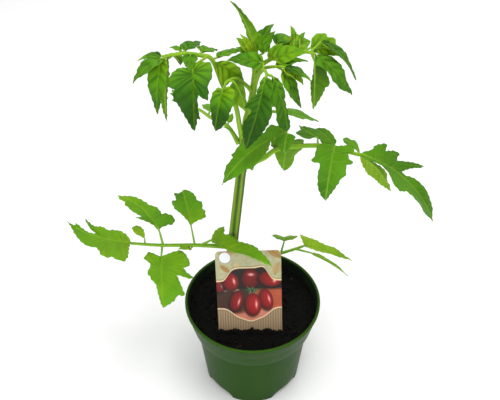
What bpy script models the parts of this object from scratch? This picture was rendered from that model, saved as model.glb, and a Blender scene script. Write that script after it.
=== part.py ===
"""A young tomato plant in its 12 cm nursery pot, with soil and a plant label.

Sizes are in millimetres and degrees until they reach a mesh, where MM turns them into metres.
The origin is the middle of the pot's underside on the ground, +Z is up and the front is -Y.
"""
import math

import bmesh
import bpy
from mathutils import Matrix, Vector
from mathutils.geometry import interpolate_bezier

MM = 0.001
GAP = 0.3                     # clearance between two pieces that touch

# Pot
POT_TOP = 95.0
RIM_RADIUS = 60.6
WALL = 1.1
COLLAR_FOOT_Z = 69.0          # the wide collar under the rim ends here
COLLAR_FOOT_RADIUS = 54.8
NECK_Z = 65.5                 # and the plain wall starts here
NECK_RADIUS = 51.0
BASE_RADIUS = 44.4
DRAIN_RISE = 3.5              # how far the drain channel is raised off the ground
NOTCH_HEIGHT = 5.0            # how far the foot ring's notches reach up the wall
PAD_RADIUS = 16.0             # the flat pad that the pot's middle rests on
FOOT_RING_RADIUS = 38.0
FLOOR = 1.5
POT_SEGMENTS = 48
NOTCH_WIDTH = 25.0
DRAIN_HOLES = 6
DRAIN_HOLE_RADIUS = 3.2
DRAIN_HOLE_CIRCLE = 27.5

# Soil
SOIL_TOP = 85.0
SOIL_MOUND = 1.6              # how much higher the soil stands at the stem than at the wall

# Label
LABEL_WIDTH = 55.5
LABEL_THICKNESS = 0.8
LABEL_ABOVE = 75.0
LABEL_BELOW = 30.0
LABEL_STAKE_WIDTH = 24.0
LABEL_CORNER = 4.0
LABEL_FOOT = (-1.9, -29.5)    # where its middle meets the soil
LABEL_LEAN = 20.0             # degrees back
LABEL_TILT = -1.7             # degrees sideways

# Stem: points on its axis and its radius there
STEM = [
    ((-25.5, 12, 52), 1.8),
    ((-24, 12, 82), 4.2),
    ((-17, 12, 152), 4.2),
    ((-9, 12, 232), 3.9),
    ((-5, 12, 275), 2.7),
    ((0, 12, 303), 2.0),
    ((1.5, 12, 325), 1.5),
]
STEM_SIDES = 12

# Leaf blades
BLADE_THICKNESS = 0.6
VEIN_LEAN = 0.75              # how far side veins run forward for each step sideways
FOLD = 12.0                   # degrees that each half of a blade is raised from its midrib
VEIN_SPACING = 0.006          # least share of the length between two side veins of one edge
NOTCH_CLEARANCE = 0.045       # how far a side vein keeps from the notches beside it, as a share
MERGED_VEINS = 0.004          # side veins nearer than this share of the length are made one
BASE_REACH = 0.05             # half widths that a blade reaches to each side where it starts

# A form is a blade's left edge and right edge, from base to tip, seen from above with the tip
# ahead. Each point is a share of the blade's length and a reach in half widths from the midrib.
OVATE = [(0.05, 0.62), (0.24, 1.0), (0.5, 0.84), (0.78, 0.4)]
TOOTHED = [(0.03, 0.6), (0.2, 1.0), (0.27, 0.8), (0.5, 0.9), (0.56, 0.66), (0.8, 0.36)]
LOBED = [(0.02, 0.6), (0.16, 1.0), (0.22, 0.68), (0.46, 0.8), (0.5, 0.52), (0.74, 0.4)]
FORMS = {
    "ovate": (OVATE, OVATE),
    "toothed": (TOOTHED, TOOTHED),
    "lobed": (LOBED, LOBED),
    "left_tooth": (TOOTHED, OVATE),
    "wing": (
        [(-0.04, 0.27), (-0.07, 0.5), (-0.07, 0.77), (0, 1), (0.07, 0.74), (0.11, 0.5),
         (0.18, 0.62), (0.25, 0.64), (0.38, 0.53), (0.5, 0.57), (0.65, 0.55), (0.73, 0.45),
         (0.88, 0.27)],
        [(0.08, 0.19), (0.18, 0.22), (0.33, 0.2), (0.47, 0.16), (0.6, 0.02), (0.74, 0.02),
         (0.87, 0.02)],
    ),
    "oak": (
        [(0.1, 0.11), (0.27, 0.39), (0.45, 0.71), (0.67, 0.82), (0.67, 0.5), (0.93, 0.57),
         (0.89, 0.26)],
        [(0.04, 0.22), (0.07, 0.5), (0.08, 0.77), (0.13, 0.96), (0.19, 0.83), (0.24, 0.99),
         (0.34, 0.78), (0.43, 0.89), (0.51, 0.85), (0.57, 0.58), (0.68, 0.63), (0.8, 0.54),
         (0.93, 0.26)],
    ),
    "eared_right": (
        [(0.1, 0.11), (0.19, 0.36), (0.25, 0.52), (0.37, 0.7), (0.31, 0.38), (0.39, 0.43),
         (0.52, 0.55), (0.72, 0.51), (0.73, 0.34), (0.8, 0.26), (0.92, 0.23)],
        [(0.01, 0.21), (0, 0.51), (-0.03, 0.77), (0.01, 0.97), (0.07, 1), (0.16, 0.77),
         (0.18, 0.53), (0.25, 0.59), (0.31, 0.62), (0.37, 0.58), (0.43, 0.44), (0.55, 0.39),
         (0.7, 0.28), (0.85, 0.16)],
    ),
    "spread": (
        [(-0.02, 0.19), (-0.06, 0.39), (-0.07, 0.62), (0.03, 0.77), (0.21, 0.91), (0.28, 0.84),
         (0.27, 0.67), (0.38, 0.79), (0.48, 0.99), (0.51, 0.9), (0.45, 0.67), (0.39, 0.46),
         (0.5, 0.53), (0.8, 0.71), (0.79, 0.58), (0.78, 0.46), (0.87, 0.38), (0.94, 0.19)],
        [(0.01, 0.06), (-0.06, 0.23), (-0.11, 0.43), (-0.03, 0.42), (0.06, 0.55), (0.13, 0.37),
         (0.2, 0.32), (0.25, 0.39), (0.35, 0.45), (0.4, 0.35), (0.47, 0.32), (0.55, 0.18),
         (0.68, 0.15), (0.86, 0.08)],
    ),
    "forked": (
        [(0.02, 0.3), (0.04, 0.78), (0.07, 1), (0.14, 0.97), (0.18, 0.86), (0.22, 0.96),
         (0.28, 0.92), (0.32, 0.69), (0.36, 0.57), (0.45, 0.59), (0.58, 0.42), (0.8, 0.15)],
        [(0.05, 0.26), (0.14, 0.43), (0.25, 0.43), (0.32, 0.32), (0.4, 0.38), (0.54, 0.37),
         (0.8, 0.41), (0.43, 0.08), (0.63, 0.09), (0.86, 0.1), (0.8, 0.02)],
    ),
    "sail": (
        [(0.24, 0.16), (0.35, 0.59), (0.48, 0.82), (0.57, 0.93), (0.65, 0.99), (0.65, 0.73),
         (0.68, 0.63), (0.82, 0.49), (0.93, 0.2)],
        [(0.01, 0.21), (0.04, 0.38), (0.1, 0.69), (0.19, 0.52), (0.34, 0.39), (0.44, 0.52),
         (0.54, 0.65), (0.7, 0.53), (0.68, 0.38), (0.8, 0.34), (0.88, 0.22)],
    ),
    "maple": (
        [(-0.01, 0.28), (-0.04, 0.54), (-0.01, 0.84), (0.05, 0.92), (0.07, 0.72), (0.11, 0.62),
         (0.2, 0.76), (0.23, 0.99), (0.27, 0.85), (0.29, 0.65), (0.37, 0.69), (0.49, 0.72),
         (0.51, 0.56), (0.62, 0.47), (0.82, 0.23)],
        [(0.01, 0.41), (0.06, 0.69), (0.16, 0.78), (0.21, 0.72), (0.34, 0.88), (0.34, 0.66),
         (0.34, 0.44), (0.41, 0.45), (0.53, 0.5), (0.74, 0.4), (0.92, 0.21)],
    ),
    "three_fingers": (
        [(0.03, 0.12), (0.08, 0.21), (0.1, 0.41), (0.15, 0.55), (0.21, 0.7), (0.2, 0.39),
         (0.29, 0.64), (0.36, 0.73), (0.34, 0.53), (0.34, 0.36), (0.46, 0.68), (0.61, 0.99),
         (0.59, 0.83), (0.48, 0.42), (0.43, 0.19), (0.47, 0.13), (0.58, 0.28), (0.75, 0.31),
         (0.91, 0.28)],
        [(0.02, 0.17), (0.13, 0.24), (0.2, 0.24), (0.27, 0.45), (0.33, 0.74), (0.43, 0.81),
         (0.5, 0.61), (0.63, 0.68), (0.83, 0.44)],
    ),
    "broad_mitten": (
        [(-0.04, 0.18), (-0.05, 0.47), (-0.03, 0.75), (0.1, 0.78), (0.21, 0.74), (0.28, 0.58),
         (0.41, 0.61), (0.53, 0.58), (0.49, 0.37), (0.44, 0.22), (0.42, 0.15), (0.54, 0.16),
         (0.69, 0.17), (0.82, 0.27), (0.78, 0.12), (0.9, 0.08)],
        [(0.03, 0.17), (0.02, 0.47), (0.06, 0.7), (0.16, 0.92), (0.31, 1.01), (0.34, 0.84),
         (0.33, 0.71), (0.42, 0.81), (0.52, 0.8), (0.56, 0.63), (0.67, 0.5), (0.82, 0.27),
         (0.97, 0.09)],
    ),
    "hook": (
        [(-0.16, 1.3), (0.02, 1.1), (0.3, 0.66), (0.6, 0.54)],
        [(0.1, 0.3), (0.4, 0.5), (0.7, 0.34)],
    ),
    "barbed": (
        [(0.03, 0.38), (0.14, 0.68), (0.24, 0.66), (0.29, 0.84), (0.39, 1.01), (0.54, 0.88),
         (0.68, 0.64), (0.87, 0.28)],
        [(0.04, 0.16), (0.12, 0.26), (0.23, 0.3), (0.34, 0.54), (0.45, 0.78), (0.44, 0.53),
         (0.44, 0.25), (0.55, 0.46), (0.66, 0.56), (0.87, 0.31)],
    ),
    "spoon": (
        [(0.12, 0.43), (0.35, 0.92), (0.65, 0.87), (0.9, 0.55)],
        [(0.18, 0.54), (0.43, 0.97), (0.69, 0.92), (0.92, 0.55)],
    ),
    "heart": (
        [(0.03, 0.67), (0.14, 1), (0.34, 0.88), (0.63, 0.6), (0.88, 0.31)],
        [(0.09, 0.55), (0.2, 0.99), (0.43, 1.02), (0.65, 0.74), (0.88, 0.37)],
    ),
    "heart_under": (
        [(-0.11, 0.39), (-0.14, 0.84), (0.09, 0.79), (0.26, 0.53), (0.48, 0.46), (0.61, 0.34),
         (0.84, 0.17)],
        [(0.03, 0.4), (0.29, 0.99), (0.55, 0.91), (0.71, 0.64), (0.89, 0.55), (1.01, 0.27)],
    ),
    "two_spikes": (
        [(0.06, 0.36), (0.15, 0.83), (0.29, 0.88), (0.44, 1.02), (0.55, 0.19)],
        [(0.08, 0.13), (0.19, 0.2), (0.51, 0.29), (0.75, 0.16)],
    ),
    "dome": (
        [(0.05, 0.5), (0.15, 1), (0.28, 0.82), (0.55, 0.71), (0.77, 0.45)],
        [(0.02, 0.3), (0.18, 0.5), (0.37, 0.57), (0.54, 0.42), (0.69, 0.15), (0.72, 0.02)],
    ),
    "ear": (
        [(0.14, 0.41), (0.41, 0.9), (0.66, 0.98)],
        [(0.21, 0.46), (0.48, 0.83), (0.69, 0.38), (0.88, 0.69)],
    ),
    "lance_under": (
        [(0.02, 0.23), (0.14, 0.7), (0.33, 0.98), (0.7, 0.71), (0.9, 0.28)],
        [(0.12, 0.06), (0.32, 0.23), (0.51, 0.45), (0.69, 0.46), (0.75, 0.08), (0.9, 0.21)],
    ),
    "backlit": (
        [(0.14, 0.32), (0.37, 0.5), (0.63, 0.48), (0.81, 0.25)],
        [(0.08, 0.4), (0.32, 0.77), (0.6, 0.99), (0.66, 0.56), (0.85, 0.22)],
    ),
    "small_mitten": (
        [(-0.07, 0.31), (-0.03, 0.69), (0.07, 0.89), (0.19, 0.76), (0.26, 0.99), (0.41, 0.83),
         (0.64, 0.74), (0.87, 0.42)],
        [(-0.02, 0.25), (0.1, 0.5), (0.31, 0.53), (0.56, 0.39), (0.82, 0.19)],
    ),
    "dark_right": (
        [(0.11, 0.34), (0.31, 0.38), (0.47, 0.22), (0.73, 0.16), (0.87, 0.33), (0.96, 0.23)],
        [(0.07, 0.55), (0.2, 0.97), (0.36, 0.99), (0.49, 0.79), (0.66, 0.88), (0.79, 0.86),
         (0.9, 0.45)],
    ),
    "lance_toothed": (
        [(-0.03, 0.65), (0.1, 1), (0.42, 0.63), (0.63, 0.32), (0.83, 0.25)],
        [(0.09, 0.6), (0.31, 0.99), (0.53, 0.92), (0.74, 0.49)],
    ),
    "broad_lance": (
        [(0.13, 0.55), (0.36, 0.78), (0.65, 0.44), (0.85, 0.18)],
        [(0.2, 1.01), (0.37, 0.72), (0.55, 0.96), (0.75, 0.8)],
    ),
    "corner": (
        [(0.19, 0.15), (0.5, 0.36), (0.79, 0.31)],
        [(0.08, 0.33), (0.2, 0.75), (0.36, 0.98), (0.46, 0.98), (0.49, 0.73), (0.73, 0.44)],
    ),
    "crest": (
        [(0.02, 0.34), (0.04, 0.63), (0.14, 0.86), (0.34, 0.98), (0.39, 0.7), (0.59, 0.79),
         (0.6, 0.39), (0.81, 0.12)],
        [(0.09, 0.33), (0.39, 0.54), (0.66, 0.32)],
    ),
}

# A leaf grows from the stem's axis along its own axis, and carries leaflets. Each leaflet is:
# share of the way along the leaf's axis; its stalk's heading, pitch and length; its blade's
# heading, pitch, length and width; how far its midrib arches up and bends right, as shares of
# the length; the roll of its face about the midrib; and its form. Headings are degrees from +X
# towards +Y, pitches degrees above the horizontal.
LEAVES = {
    "leaf_1_low_left": ([(-17, 12, 146), (-46, 10, 150), (-78, 8, 152), (-102.5, 5, 157)], 1.5, [
        (0.33, -33, 45, 17.6, -30, -1, 58.9, 36, 0.05, 0.04, 0, "wing"),
        (0.38, 103, 20, 20.1, 105, 20, 36.3, 32, 0.06, 0, 0, "oak"),
        (0.39, -150, -35, 4, -149, 22, 12.3, 9, 0.1, 0, 0, "ovate"),
        (0.69, 108, 12, 17.4, 138, 10, 53.8, 35, 0.07, 0.05, 0, "eared_right"),
        (0.7, -94, -34, 9.9, -85, -33, 43.7, 55, 0.08, 0, 0, "spread"),
        (0.87, 99, 7, 6.9, 128, 0, 19, 9, 0.06, 0, 0, "spoon"),
        (1, 142, 13, 1.7, 160, 6, 60.6, 52, 0.05, -0.15, 0, "forked"),
    ]),
    "leaf_2_low_right": (
        [(-19, 12, 128), (7, 15, 130), (25, 18, 133), (37, 20, 136), (45, 22, 138)], 1.3, [
        (0.68, 72, 26, 12, 87, -35, 20, 25, 0.08, 0, 0, "ovate"),
        (0.88, -30, 9, 16, -37, -8, 38, 13, 0.06, 0, -40, "left_tooth"),
        (1, -5, 0, 1, -15, -10, 43, 19, 0.06, 0, 0, "hook"),
    ]),
    "leaf_3_right": (
        [(-8, 12, 234), (8, 6, 246), (20, 2, 258), (48, -4, 265), (64, -8, 264),
         (77.5, -10, 261)], 1.7, [
        (0.42, -78, 70, 19.8, -148, -25, 60.5, 34, 0.12, 0, 0, "sail"),
        (0.47, -102, 56, 26.5, -105, -49, 14.2, 14, 0.12, 0, 0, "heart"),
        (0.45, 75, 7, 6.5, 120, -79, 32, 36, 0.05, 0, 4, "heart_under"),
        (0.69, 92, 12, 8.1, 125, -3, 22, 22, 0.1, -0.14, 0, "two_spikes"),
        (0.8, 77, -24, 9, 132, 5, 28.3, 20, 0.12, 0, 0, "dome"),
        (0.82, -104, 47, 9.9, -107, -61, 41.2, 34, 0.08, 0, 0, "maple"),
        (0.98, 53, -11, 4.7, 125, 4, 18.7, 10, 0.1, 0, 0, "ear"),
        (0.98, 13, -29, 4.1, 6, -53, 45.3, 17, 0.08, 0, 233, "lance_under"),
        (1, -29, 27, 2.7, -17, -40, 77.7, 53, 0.09, -0.06, 0, "three_fingers"),
    ]),
    "leaf_4_back_left": (
        [(-11, 12, 256), (-20, 25, 263), (-33, 42, 259), (-43, 58, 256), (-52, 68, 254)], 1.3, [
        (0.12, -161, 60, 3, -165, 40, 8, 5, 0.05, 0, 0, "ovate"),
        (0.25, 60, 10, 3, 70, 20, 10, 6, 0.05, 0, 0, "ovate"),
        (0.62, 78, 0, 6, 72, -25, 30, 20, 0.08, 0, 0, "toothed"),
        (1, 112, -5, 4, 112, -14, 42, 26, 0.08, 0, 0, "lobed"),
    ]),
    "leaf_5_upper_left": (
        [(-8, 12, 260), (-10, 9, 273), (-13, 6, 294), (-21, 4, 310), (-28, 2, 332), (-36, 1, 336),
         (-47, 0, 338), (-59, -2, 337)], 1.5, [
        (0.7, 38, 5, 4, 40, -9, 27, 9, 0.06, 0, 0, "ovate"),
        (0.66, -105, 61, 2.9, 19, -41, 28.3, 24, 0.04, 0, 84, "backlit"),
        (0.74, -125, -2, 15.8, -88, -61, 42.8, 34, 0.07, 0, 0, "broad_mitten"),
        (0.8, 62, -5, 5, 62, -22, 22, 15, 0.06, 0, 0, "toothed"),
        (0.84, -91, 22, 6, -93, -37, 12, 11, 0.1, 0, 0, "ovate"),
        (0.88, 132, 5, 4, 135, -9, 12.6, 6, 0.06, 0, 0, "ovate"),
        (0.9, 66, 0, 4, 66, -11, 24, 13, 0.06, 0, 0, "toothed"),
        (0.96, 64, -30, 3, 64, -57, 13, 11, 0.08, 0, 0, "ovate"),
        (0.96, 150, -45, 6, -150, -85, 50, 9, 0.04, 0, 75, "ovate"),
        (0.97, -131, 6, 8, -141, -23, 25.8, 14, 0.08, 0, 0, "ovate"),
        (1, 180, 5, 3, 176, -14, 17, 9, 0.06, 0, 0, "ovate"),
        (1, -134, -13, 3.6, -100, -58, 36.8, 17, 0.12, 0, 20, "left_tooth"),
    ]),
    "leaf_6_upper_right": (
        [(2, 12, 320), (10, 10, 327), (18, 8, 332), (28, 5, 337), (36, 2, 338),
         (41, 0, 338)], 1.2, [
        (0.24, 33, 56, 12, 28, -3, 13.8, 17, 0.25, 0, 0, "ovate"),
        (0.24, -55, 40, 4.7, -22, 58, 15.7, 8, 0.1, 0, 94, "ovate"),
        (0.3, -68, 22, 7.4, -21, 23, 24.9, 13, 0.1, 0, 58, "ovate"),
        (0.36, 45, 30, 5, 30, 4, 17, 12, 0.12, 0, 0, "ovate"),
        (0.4, 12, 40, 9.4, 51, 13, 13.2, 14, 0.1, 0, 5, "ovate"),
        (0.67, 83, 35, 10, 122, 57, 9, 5, 0.05, 0, 0, "ovate"),
        (0.52, 18, 29, 6.8, 28, 6, 14.8, 18, 0.1, 0, 21, "toothed"),
        (0.77, 87, 45, 8, 51, 25, 7, 4, 0.05, 0, 0, "ovate"),
        (0.84, 35, 12, 5.8, -5, -13, 25.2, 22, 0.08, 0, 43, "crest"),
        (0.93, 21, 38, 10, -23, -41, 35.1, 18, 0.12, 0, -15, "left_tooth"),
        (0.96, 44, -65, 9.5, 68, -84, 40.6, 22, 0.04, 0, 10, "corner"),
        (1, -75, 2, 2.2, -33, -36, 36.4, 22, 0.14, 0.09, 0, "broad_lance"),
    ]),
    "leaf_7_front": ([(1, 12, 307), (4, 2, 321), (7, -8, 330), (9, -14, 330)], 1.2, [
        (0.8, 90, 27, 5.7, 175, 2, 25, 12, 0.06, 0, -46, "ovate"),
        (1, -25, -5, 3.9, -47, -67, 40, 21, 0.07, 0, 0, "dark_right"),
        (1, -108, -9, 2.5, -130, -66, 52.4, 27, 0.07, -0.07, 0, "barbed"),
    ]),
    "leaf_8_inner_left": (
        [(-1, 12, 302), (-7, 4, 313), (-12, -2, 320), (-18, -6, 320), (-20, -8, 317)], 1.1, [
        (0.85, -32, 6, 4, -17, -69, 24.7, 15, 0.05, 0, 202, "ovate"),
        (1, -118, -32, 2.2, -109, -56, 29, 24, 0.08, 0, 0, "small_mitten"),
    ]),
    "leaf_9_back_right": ([(-5, 12, 276), (7, 22, 277), (21, 32, 271), (27, 36, 267)], 1.1, [
        (0.55, 92, 5, 5, 85, -18, 28, 18, 0.08, 0, 0, "toothed"),
        (1, 82, -33, 1.7, 29, -30, 34.9, 19, 0.02, 0, 0, "ovate"),
    ]),
    "leaf_10_front_right": ([(1, 12, 312), (7, 6, 323), (13, 0, 328), (19, -5, 331)], 1.1, [
        (0.7, -5, 2, 3, -5, 14, 22.7, 13, 0.06, 0, 0, "ovate"),
        (0.86, -25, -22, 4.3, -33, -57, 29.9, 18, 0.07, 0.05, 0, "lance_toothed"),
        (0.94, -27, -5, 3, -27, -31, 18, 11, 0.06, 0, 0, "ovate"),
        (1, -29, 0, 3, -29, -15, 20, 9, 0.06, 0, 0, "ovate"),
    ]),
}
# The young leaves at the growing tip, on a short axis of their own
GROWING_TIP = ([(1.6, 12, 325.5), (2, 12, 330), (2, 12, 336)], 1.2, [
    (0.2, -150, 30, 2.5, 167, 27, 14, 9, 0.08, 0, -55, "ovate"),
    (0.3, -36, 40, 9, 154, 72, 14.6, 9, 0.08, 0, -43, "ovate"),
    (0.25, -163, 40, 3, -157, 63, 20.8, 7, 0.05, 0, -57, "ovate"),
    (0.4, 160, 45, 3, 163, 37, 15.6, 10, 0.03, 0, -33, "ovate"),
    (0.5, 75, 45, 3, 68, 32, 17.3, 15, 0.08, 0, 0, "ovate"),
    (0.6, 170, 60, 3, 171, 65, 38, 13, 0.08, 0, 50, "ovate"),
    (0.75, -29, 50, 3, -33, 52, 21.2, 11, 0.05, 0, 127, "ovate"),
    (0.9, 35, 55, 2, 32, 46, 19, 14, 0.05, 0, 0, "ovate"),
])


# ---------------------------------------------------------------- general helpers

def clear_scene():
    for item in list(bpy.data.objects):
        bpy.data.objects.remove(item)


def finish(name, colour, roughness):
    """A plain material for one sub-part."""
    made = bpy.data.materials.new(name)
    made.use_nodes = True
    shader = made.node_tree.nodes["Principled BSDF"]
    shader.inputs["Base Color"].default_value = (*colour, 1.0)
    shader.inputs["Roughness"].default_value = roughness
    shader.inputs["Metallic"].default_value = 0.0
    return made


def mesh_of(points, faces):
    """A mesh from points in millimetres, with its faces turned outwards."""
    mesh = bpy.data.meshes.new("shape")
    mesh.from_pydata([Vector(p) * MM for p in points], [], faces)
    tidy = bmesh.new()
    tidy.from_mesh(mesh)
    bmesh.ops.recalc_face_normals(tidy, faces=tidy.faces)
    tidy.to_mesh(mesh)
    tidy.free()
    return mesh


def place(name, mesh, material=None):
    item = bpy.data.objects.new(name, mesh)
    bpy.context.scene.collection.objects.link(item)
    if material:
        mesh.materials.clear()
        mesh.materials.append(material)
        mesh.shade_smooth()
        mesh.set_sharp_from_angle(angle=math.radians(40))
    return item


def combined(base, additions, cutters):
    """The base mesh joined with the additions, less the cutters, as one new mesh."""
    work = [place("base", base)]
    for operation, meshes in (("UNION", additions), ("DIFFERENCE", cutters)):
        if not meshes:
            continue
        group = bpy.data.collections.new(operation)
        for mesh in meshes:
            tool = place("tool", mesh)
            group.objects.link(tool)
            work.append(tool)
        cut = work[0].modifiers.new(operation, "BOOLEAN")
        cut.solver = "EXACT"
        cut.operation = operation
        cut.operand_type = "COLLECTION"
        cut.collection = group
    bpy.context.view_layer.update()
    evaluated = work[0].evaluated_get(bpy.context.evaluated_depsgraph_get())
    result = bpy.data.meshes.new_from_object(evaluated)
    for item in work:
        bpy.data.objects.remove(item)
    for group in list(bpy.data.collections):
        bpy.data.collections.remove(group)
    return result


def direction(heading, pitch):
    h, p = math.radians(heading), math.radians(pitch)
    return Vector((math.cos(p) * math.cos(h), math.cos(p) * math.sin(h), math.sin(p)))


def smooth_line(points, steps):
    """Points on a smooth curve through the given ones."""
    stations = [Vector(p) for p in points]
    slopes = []
    for i in range(len(stations)):
        before, after = stations[max(i - 1, 0)], stations[min(i + 1, len(stations) - 1)]
        slopes.append((after - before) / 6 * (2 if i in (0, len(stations) - 1) else 1))
    line = []
    for i in range(len(stations) - 1):
        a, b = stations[i], stations[i + 1]
        line += interpolate_bezier(a, a + slopes[i], b - slopes[i + 1], b, steps + 1)[:-1]
    return line + [stations[-1]]


def point_at(line, share):
    """The point that is the given share of the way along a line."""
    lengths = [(b - a).length for a, b in zip(line, line[1:])]
    left = share * sum(lengths)
    for a, b, length in zip(line, line[1:], lengths):
        if left <= length:
            return a.lerp(b, left / length)
        left -= length
    return line[-1]


def tube(line, radii, sides):
    """A closed tube along a line, with flat ends."""
    points, faces = [], []
    across = (line[1] - line[0]).orthogonal().normalized()
    for i, centre in enumerate(line):
        along = (line[min(i + 1, len(line) - 1)] - line[max(i - 1, 0)]).normalized()
        across = (across - along * across.dot(along)).normalized()
        for k in range(sides):
            spoke = Matrix.Rotation(math.tau * k / sides, 3, along) @ across
            points.append(centre + spoke * radii[i])
        if i:
            start = (i - 1) * sides
            for k in range(sides):
                n = (k + 1) % sides
                faces.append((start + k, start + n, start + sides + n, start + sides + k))
    faces.append(tuple(range(sides)))
    faces.append(tuple(range(len(points) - sides, len(points))))
    return mesh_of(points, faces)


def turned(profile, segments):
    """A solid turned about Z from a profile of (radius, height) that starts and ends on the axis."""
    work = bmesh.new()
    verts = [work.verts.new(Vector((r, 0, z)) * MM) for r, z in profile]
    edges = [work.edges.new(pair) for pair in zip(verts, verts[1:])]
    bmesh.ops.spin(work, geom=verts + edges, axis=(0, 0, 1), cent=(0, 0, 0), steps=segments,
                   angle=math.tau)
    bmesh.ops.remove_doubles(work, verts=work.verts, dist=1e-6)
    bmesh.ops.recalc_face_normals(work, faces=work.faces)
    mesh = bpy.data.meshes.new("turned")
    work.to_mesh(mesh)
    work.free()
    return mesh


def block(width, depth, height, centre, turn):
    """A box as a mesh, turned about Z."""
    work = bmesh.new()
    bmesh.ops.create_cube(work, size=1)
    bmesh.ops.scale(work, verts=work.verts, vec=Vector((width, depth, height)) * MM)
    bmesh.ops.translate(work, verts=work.verts, vec=Vector(centre) * MM)
    bmesh.ops.rotate(work, verts=work.verts, matrix=Matrix.Rotation(turn, 3, "Z"))
    mesh = bpy.data.meshes.new("block")
    work.to_mesh(mesh)
    work.free()
    return mesh


def plate(outline, thickness, matrix):
    """A flat plate from an outline of (across, up) in its own plane, set in place by a matrix."""
    half = thickness / 2
    count = len(outline)
    points = [matrix @ Vector((x, y, z)) for y in (-half, half) for x, z in outline]
    faces = [tuple(range(count)), tuple(range(2 * count - 1, count - 1, -1))]
    for i in range(count):
        n = (i + 1) % count
        faces.append((i, n, count + n, count + i))
    return mesh_of(points, faces)


# ---------------------------------------------------------------- pot and soil

def outer_radius(z):
    """The pot wall's outer radius at a height on its plain lower part."""
    return BASE_RADIUS + (NECK_RADIUS - BASE_RADIUS) * z / NECK_Z


def pot_profile():
    floor_top = DRAIN_RISE + FLOOR
    return [
        (0, 0), (PAD_RADIUS, 0), (PAD_RADIUS + 1.5, DRAIN_RISE), (FOOT_RING_RADIUS - 1.5, DRAIN_RISE),
        (FOOT_RING_RADIUS, 0), (BASE_RADIUS - 1, 0), (BASE_RADIUS, 1),
        (NECK_RADIUS, NECK_Z), (COLLAR_FOOT_RADIUS - 1.2, NECK_Z + 1.2),
        (COLLAR_FOOT_RADIUS, COLLAR_FOOT_Z),
        (RIM_RADIUS - 1.6, POT_TOP - 4), (RIM_RADIUS, POT_TOP - 3), (RIM_RADIUS, POT_TOP - 1),
        (RIM_RADIUS - 0.9, POT_TOP), (RIM_RADIUS - 2.2, POT_TOP - 0.6), (RIM_RADIUS - 2.8, POT_TOP - 4),
        (COLLAR_FOOT_RADIUS - WALL, COLLAR_FOOT_Z), (NECK_RADIUS - WALL, NECK_Z),
        (outer_radius(floor_top) - WALL, floor_top), (PAD_RADIUS + 0.5, floor_top),
        (PAD_RADIUS - 1, FLOOR), (0, FLOOR),
    ]


def drain_cutters():
    """Four wide notches in the foot ring and a ring of round holes in the raised floor."""
    cutters = []
    middle = (FOOT_RING_RADIUS + BASE_RADIUS) / 2
    for quarter in range(4):
        turn = math.radians(45 + 90 * quarter)
        cutters.append(block(20, NOTCH_WIDTH, 2 * NOTCH_HEIGHT, (middle, 0, 0), turn))
    for hole in range(DRAIN_HOLES):
        angle = math.tau * (hole + 0.5) / DRAIN_HOLES
        foot = Vector((math.cos(angle), math.sin(angle), 0)) * DRAIN_HOLE_CIRCLE
        ends = [foot + Vector((0, 0, z)) for z in (DRAIN_RISE - 2, DRAIN_RISE + FLOOR + 2)]
        cutters.append(tube(ends, [DRAIN_HOLE_RADIUS] * 2, 12))
    return cutters


def soil_profile():
    floor_top = DRAIN_RISE + FLOOR + GAP
    inset = WALL + GAP + 0.1
    share = (SOIL_TOP - COLLAR_FOOT_Z) / (POT_TOP - 4 - COLLAR_FOOT_Z)
    wall_at_top = COLLAR_FOOT_RADIUS - inset + share * (RIM_RADIUS - 2.8 - COLLAR_FOOT_RADIUS + WALL)
    return [
        (0, FLOOR + GAP), (PAD_RADIUS - 1.4, FLOOR + GAP), (PAD_RADIUS, floor_top),
        (outer_radius(floor_top) - inset, floor_top), (NECK_RADIUS - inset, NECK_Z),
        (COLLAR_FOOT_RADIUS - inset, COLLAR_FOOT_Z + 0.3), (wall_at_top, SOIL_TOP),
        (wall_at_top * 0.6, SOIL_TOP + SOIL_MOUND * 0.6), (0, SOIL_TOP + SOIL_MOUND),
    ]


# ---------------------------------------------------------------- label

def label_outline(grow):
    """The label's outline, widened all round by grow: a stake below, rounded corners above."""
    half = LABEL_WIDTH / 2 + grow
    stake = LABEL_STAKE_WIDTH / 2 + grow
    outline = [(-stake, -LABEL_BELOW - grow), (stake, -LABEL_BELOW - grow), (half, -8), (half, 0)]
    for side, first in ((1, 0), (-1, 90)):
        for step in range(5):
            angle = math.radians(first + 22.5 * step)
            corner_x = side * (half - LABEL_CORNER)
            corner_z = LABEL_ABOVE + grow - LABEL_CORNER
            outline.append((corner_x + LABEL_CORNER * math.cos(angle),
                            corner_z + LABEL_CORNER * math.sin(angle)))
    return outline + [(-half, 0), (-half, -8)]


def label_place():
    lean = Matrix.Rotation(math.radians(-LABEL_LEAN), 4, "X")
    tilt = Matrix.Rotation(math.radians(LABEL_TILT), 4, "Y")
    return Matrix.Translation((*LABEL_FOOT, SOIL_TOP + SOIL_MOUND)) @ lean @ tilt


# ---------------------------------------------------------------- stem and leaves

def stem_tube(grow):
    line = smooth_line([point for point, _ in STEM], 2)
    line[0] = line[0] - Vector((0, 0, grow))
    radii = []
    for (_, a), (_, b) in zip(STEM, STEM[1:]):
        radii += [a + grow, (a + b) / 2 + grow]
    return tube(line, radii + [STEM[-1][1] + grow], STEM_SIDES)


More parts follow.
